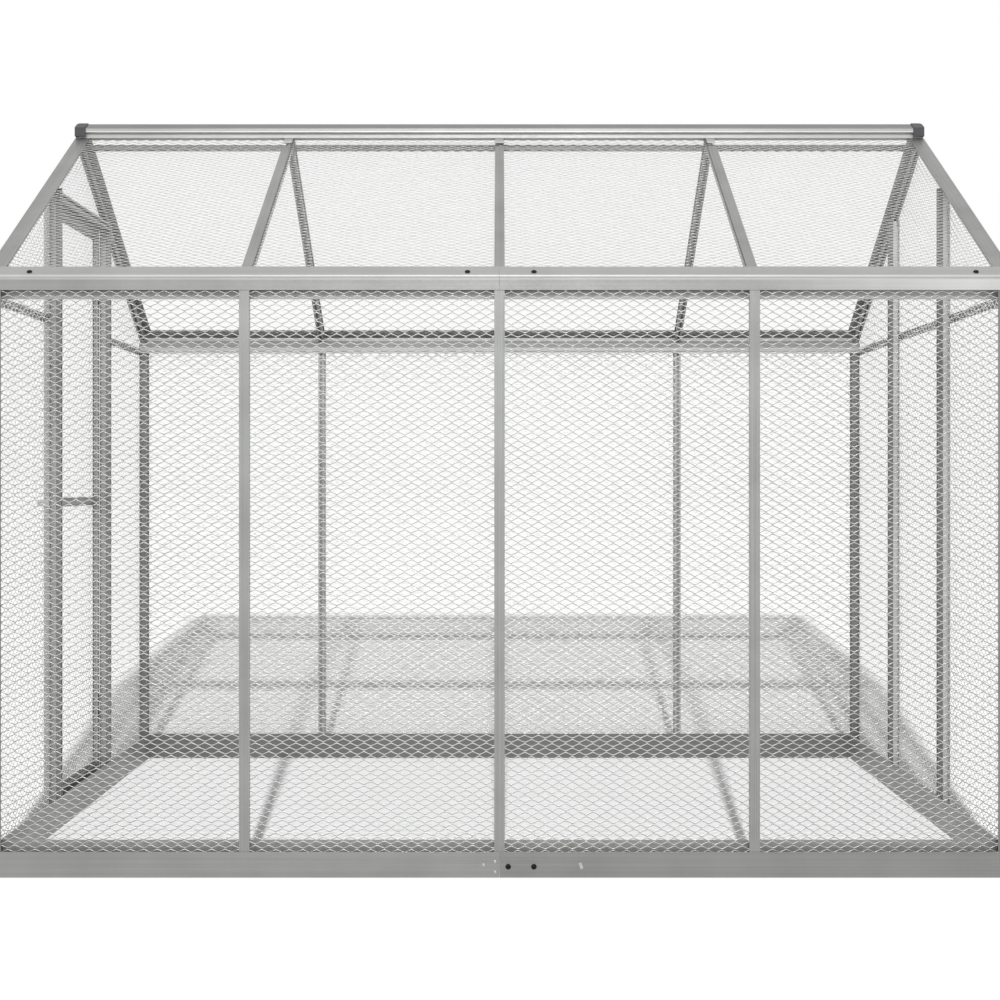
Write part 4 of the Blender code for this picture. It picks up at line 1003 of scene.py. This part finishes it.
# %% Over the door, and the door's two panes
OVER_DOOR_START = (0.002, 0.004)
PANE_START = (0.003, 0.006)

low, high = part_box("mesh_over_door")
over_door = gable_bay(low.y, high.y, low.z, (OVER_DOOR_START[0], low.z + OVER_DOOR_START[1]))
mesh_x = (low.x + high.x) / 2
hang_sheet("mesh_over_door", [over_door], (mesh_x, 0, 0), (0, 1, 0), (0, 0, 1), (-1, 0, 0))
for node in ("door_mesh_lower", "door_mesh_upper"):
    low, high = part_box(node)
    pane = (rectangle(low.y, high.y, low.z, high.z), (PANE_START[0], low.z + PANE_START[1]))
    mesh_x = (low.x + high.x) / 2
    hang_sheet(node, [pane], (mesh_x, 0, 0), (0, 1, 0), (0, 0, 1), (-1, 0, 0), "door")

# %% [markdown]
# ## Bolts
# The frame is held by bolts. Their nuts are out of sight in the bars' channels, and only their
# black button heads show, so only the heads are made. A head is round: half its outline is drawn
# and spun. The socket for the key is spun with it, as its six sides would be too small to show.

# %% A turned piece
def turned(name, outline, sides, material, place, axis, body="frame"):
    """Spins an outline of (radius, height) round the axis, from the rim to the middle."""
    shape = bmesh.new()
    rings = []
    turns = [2 * math.pi * k / sides for k in range(sides)]
    for radius, height in outline:
        rings.append([
            shape.verts.new((radius * math.cos(t), radius * math.sin(t), height)) for t in turns
        ])
    for outer, inner in zip(rings, rings[1:]):
        for k in range(sides):
            n = (k + 1) % sides
            shape.faces.new((outer[k], outer[n], inner[n], inner[k]))
    shape.faces.new(rings[-1])
    shape.faces.new(list(reversed(rings[0])))
    mesh = bpy.data.meshes.new(name)
    shape.to_mesh(mesh)
    shape.free()
    mesh.materials.append(material)
    piece = bpy.data.objects.new(name, mesh)
    turn = Vector((0, 0, 1)).rotation_difference(Vector(axis))
    piece.matrix_world = Matrix.Translation(place) @ turn.to_matrix().to_4x4()
    bpy.context.scene.collection.objects.link(piece)
    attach(piece, body)


BUTTON_RIM = 0.25
SOCKET = ((0.96, 0.96), (0.9, 0.35))
ARC_STEPS = 5


def button_head(radius, height, key):
    """Half outline of a button head, from its upright rim over the dome and into the socket. The
    rim is a part of the height, and the socket's mouth and floor are parts of both sizes."""
    arc = []
    for step in range(ARC_STEPS + 1):
        turn = math.pi / 2 * step / ARC_STEPS
        reach = key + (radius - key) * math.cos(turn)
        arc.append((reach, height * (BUTTON_RIM + (1 - BUTTON_RIM) * math.sin(turn))))
    socket = [(key * wide, height * high) for wide, high in SOCKET]
    return [(radius, 0)] + arc + socket


print("points in a bolt's outline:", len(button_head(1, 1, 0.5)))

# %% [markdown]
# The picture shows four bolts along the front eave, on the flange that lies on the rafters, and
# two on the face of the base rail, beside the joint of its two lengths. Their places were read off
# the picture. The back eave gets the same four, by guess.

# %% Bolts of the eaves and of the base
EAVE_BOLT_XS = (29.5, 467.5, 534.0, 976.0)
EAVE_BOLT_RUN = 0.0108
BASE_BOLTS = ((508.2, 866.7), (533.9, 866.7))
BOLT_HEAD, BOLT_HIGH, BOLT_KEY = 0.0064, 0.0040, 0.0022
BOLT_SIDES = 24


def bolt(name, place, out):
    """A black button head that faces that way."""
    turned(name, button_head(BOLT_HEAD, BOLT_HIGH, BOLT_KEY), BOLT_SIDES, black_steel, place, out)


front_face_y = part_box("base_front_left")[0].y
bolt_y = front_face_y + EAVE_BOLT_RUN
bolt_z = EAVE_TOP + EAVE_BOLT_RUN * math.tan(ROOF_PITCH)
slope_out = Vector((0, -math.sin(ROOF_PITCH), math.cos(ROOF_PITCH)))
for index, pixel_x in enumerate(EAVE_BOLT_XS):
    x = place_at(pixel_x, EYE_LEVEL_Y, bolt_y).x
    for side, name in ((1, "front"), (-1, "back")):
        out = Vector((0, slope_out.y * side, slope_out.z))
        bolt(f"eave_bolt_{name}_{index + 1}", Vector((x, bolt_y * side, bolt_z)), out)
for index, (pixel_x, pixel_y) in enumerate(BASE_BOLTS):
    bolt(f"base_bolt_{index + 1}", place_at(pixel_x, pixel_y, front_face_y), (0, -1, 0))
print("bolts:", len(EAVE_BOLT_XS) * 2 + len(BASE_BOLTS))

# %% [markdown]
# ## Small plates
# A light patch shows at the top of the middle rafter: a plate of rolled aluminium that holds the
# rafter to the ridge. It is painted near white, brighter than the bars: painted light that lifts
# it out of the shade under the ridge's wing. The two rafters beside it get the same plate, though
# the picture shows none there. A small clip sits on the front base rail, a little askew.

# %% Joint plates and the clip
PLATE_ROUNDING = 0.0004


def plate(name, size, matrix, material):
    """A plate with slightly rounded edges. Its size is in metres."""
    shape = bmesh.new()
    bmesh.ops.create_cube(shape, size=1, matrix=Matrix.Diagonal((*size, 1)))
    bmesh.ops.bevel(
        shape, geom=shape.edges[:], offset=PLATE_ROUNDING, segments=2, affect="EDGES"
    )
    mesh = bpy.data.meshes.new(name)
    shape.to_mesh(mesh)
    shape.free()
    mesh.materials.append(material)
    piece = bpy.data.objects.new(name, mesh)
    piece.matrix_world = matrix
    bpy.context.scene.collection.objects.link(piece)
    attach(piece, "frame")


JOINT_PLATE = (0.0238, 0.040, 0.0014)
JOINT_PLATE_MIDDLE = 0.0425
CLIP_AT = (581.0, 865.8)
CLIP_SIZE = (0.0072, 0.0014, 0.0145)
CLIP_LEAN = math.radians(-20)

# Painted light: the plate's near-white tone lifts it out of the shade under the ridge's wing.
rolled_plate = mill_finish("rolled_aluminium_plate", UP_THE_FRONT, "#E0E1DF", "#ECEDEB")
plate_z = EAVE_TOP + (-JOINT_PLATE_MIDDLE - front_face_y) * math.tan(ROOF_PITCH)
for index, x in enumerate(stud_xs):
    on_slope = Vector((x, -JOINT_PLATE_MIDDLE, plate_z)) + slope_out * JOINT_PLATE[2] / 2
    lie = Matrix.Translation(on_slope) @ Matrix.Rotation(ROOF_PITCH, 4, "X")
    plate(f"joint_plate_{index + 1}", JOINT_PLATE, lie, rolled_plate)
clip_place = place_at(*CLIP_AT, front_face_y - CLIP_SIZE[1] / 2)
clip_lie = Matrix.Translation(clip_place) @ Matrix.Rotation(CLIP_LEAN, 4, "Y")
plate("base_clip", CLIP_SIZE, clip_lie, zinc_plate)
print("plates:", len(stud_xs) + 1)

# %% [markdown]
# ## Rivets and screws
# Small dome heads, bright against the dull bars: three rivets beside the joint of the front base
# rail, and the screws of the hinges, the slide bolt, the keeper and the door's corners. Those of
# the door ride with the door.

# %% Rivets of the base
SCREW_HEAD, DOME_HIGH = 0.0023, 0.0012
RIVET_HEAD = 0.0034
DOME_SIDES = 16
DOME_RIM = 0.2
DOME_STEPS = 4
BASE_RIVETS = ((483.5, 865.0), (495.0, 861.6), (495.0, 872.0))


def dome(name, radius, place, out, body="frame"):
    """A bright dome head with a low upright rim, flat on top."""
    turns = [math.pi / 2 * step / DOME_STEPS for step in range(DOME_STEPS)]
    arc = [
        (radius * math.cos(t), DOME_HIGH * (DOME_RIM + (1 - DOME_RIM) * math.sin(t)))
        for t in turns
    ]
    turned(name, [(radius, 0)] + arc, DOME_SIDES, zinc_plate, place, out, body)


for index, (pixel_x, pixel_y) in enumerate(BASE_RIVETS):
    place = place_at(pixel_x, pixel_y, front_face_y)
    dome(f"base_rivet_{index + 1}", RIVET_HEAD, place, (0, -1, 0))
print("rivets:", len(BASE_RIVETS))

# %% [markdown]
# The screws' places are worked out from the boxes of the CAD nodes that they hold. Each list
# belongs to one body: what is screwed to the leaf swings with it.

# %% Screws of the door and its fittings
FITTING_THICK = 0.002
DOOR_MID_RAIL_Z = 0.865
CORNER_IN = 0.020
HINGE_SCREW_STEP, HINGE_FOOT_IN = 0.024, 0.0035
HOUSING_SCREW_IN, HOUSING_SCREW_STEP = 0.020, 0.009
KEEPER_SCREW_STEP = 0.0155

stile_low, stile_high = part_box("door_stile_latch")
stile_y = (stile_low.y + stile_high.y) / 2
on_leaf = stile_low.x - FITTING_THICK
on_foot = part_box("latch_keeper")[1].x - FITTING_THICK
door_screws = [
    (stile_low.x, stile_y * side, z)
    for side in (1, -1)
    for z in (stile_low.z + CORNER_IN, DOOR_MID_RAIL_Z, stile_high.z - CORNER_IN)
]
frame_screws = []
for name in ("hinge_lower", "hinge_upper"):
    low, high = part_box(name)
    middle = (low.z + high.z) / 2
    for step in (-HINGE_SCREW_STEP, HINGE_SCREW_STEP):
        door_screws.append((on_leaf, -stile_y, middle + step))
        frame_screws.append((on_foot, high.y - HINGE_FOOT_IN, middle + step))
low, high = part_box("latch_housing")
middle = (low.z + high.z) / 2
door_screws += [
    (on_leaf, y, middle + step)
    for y in (low.y + HOUSING_SCREW_IN, high.y - HOUSING_SCREW_IN)
    for step in (-HOUSING_SCREW_STEP, HOUSING_SCREW_STEP)
]
low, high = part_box("latch_keeper")
middle = (low.z + high.z) / 2
frame_screws += [
    (on_foot, (low.y + high.y) / 2, middle + step)
    for step in (-KEEPER_SCREW_STEP, KEEPER_SCREW_STEP)
]
for body, places in (("door", door_screws), ("frame", frame_screws)):
    for index, place in enumerate(places):
        dome(f"{body}_screw_{index + 1}", SCREW_HEAD, place, (-1, 0, 0), body)
print("screws:", len(door_screws), "on the door,", len(frame_screws), "on the frame")
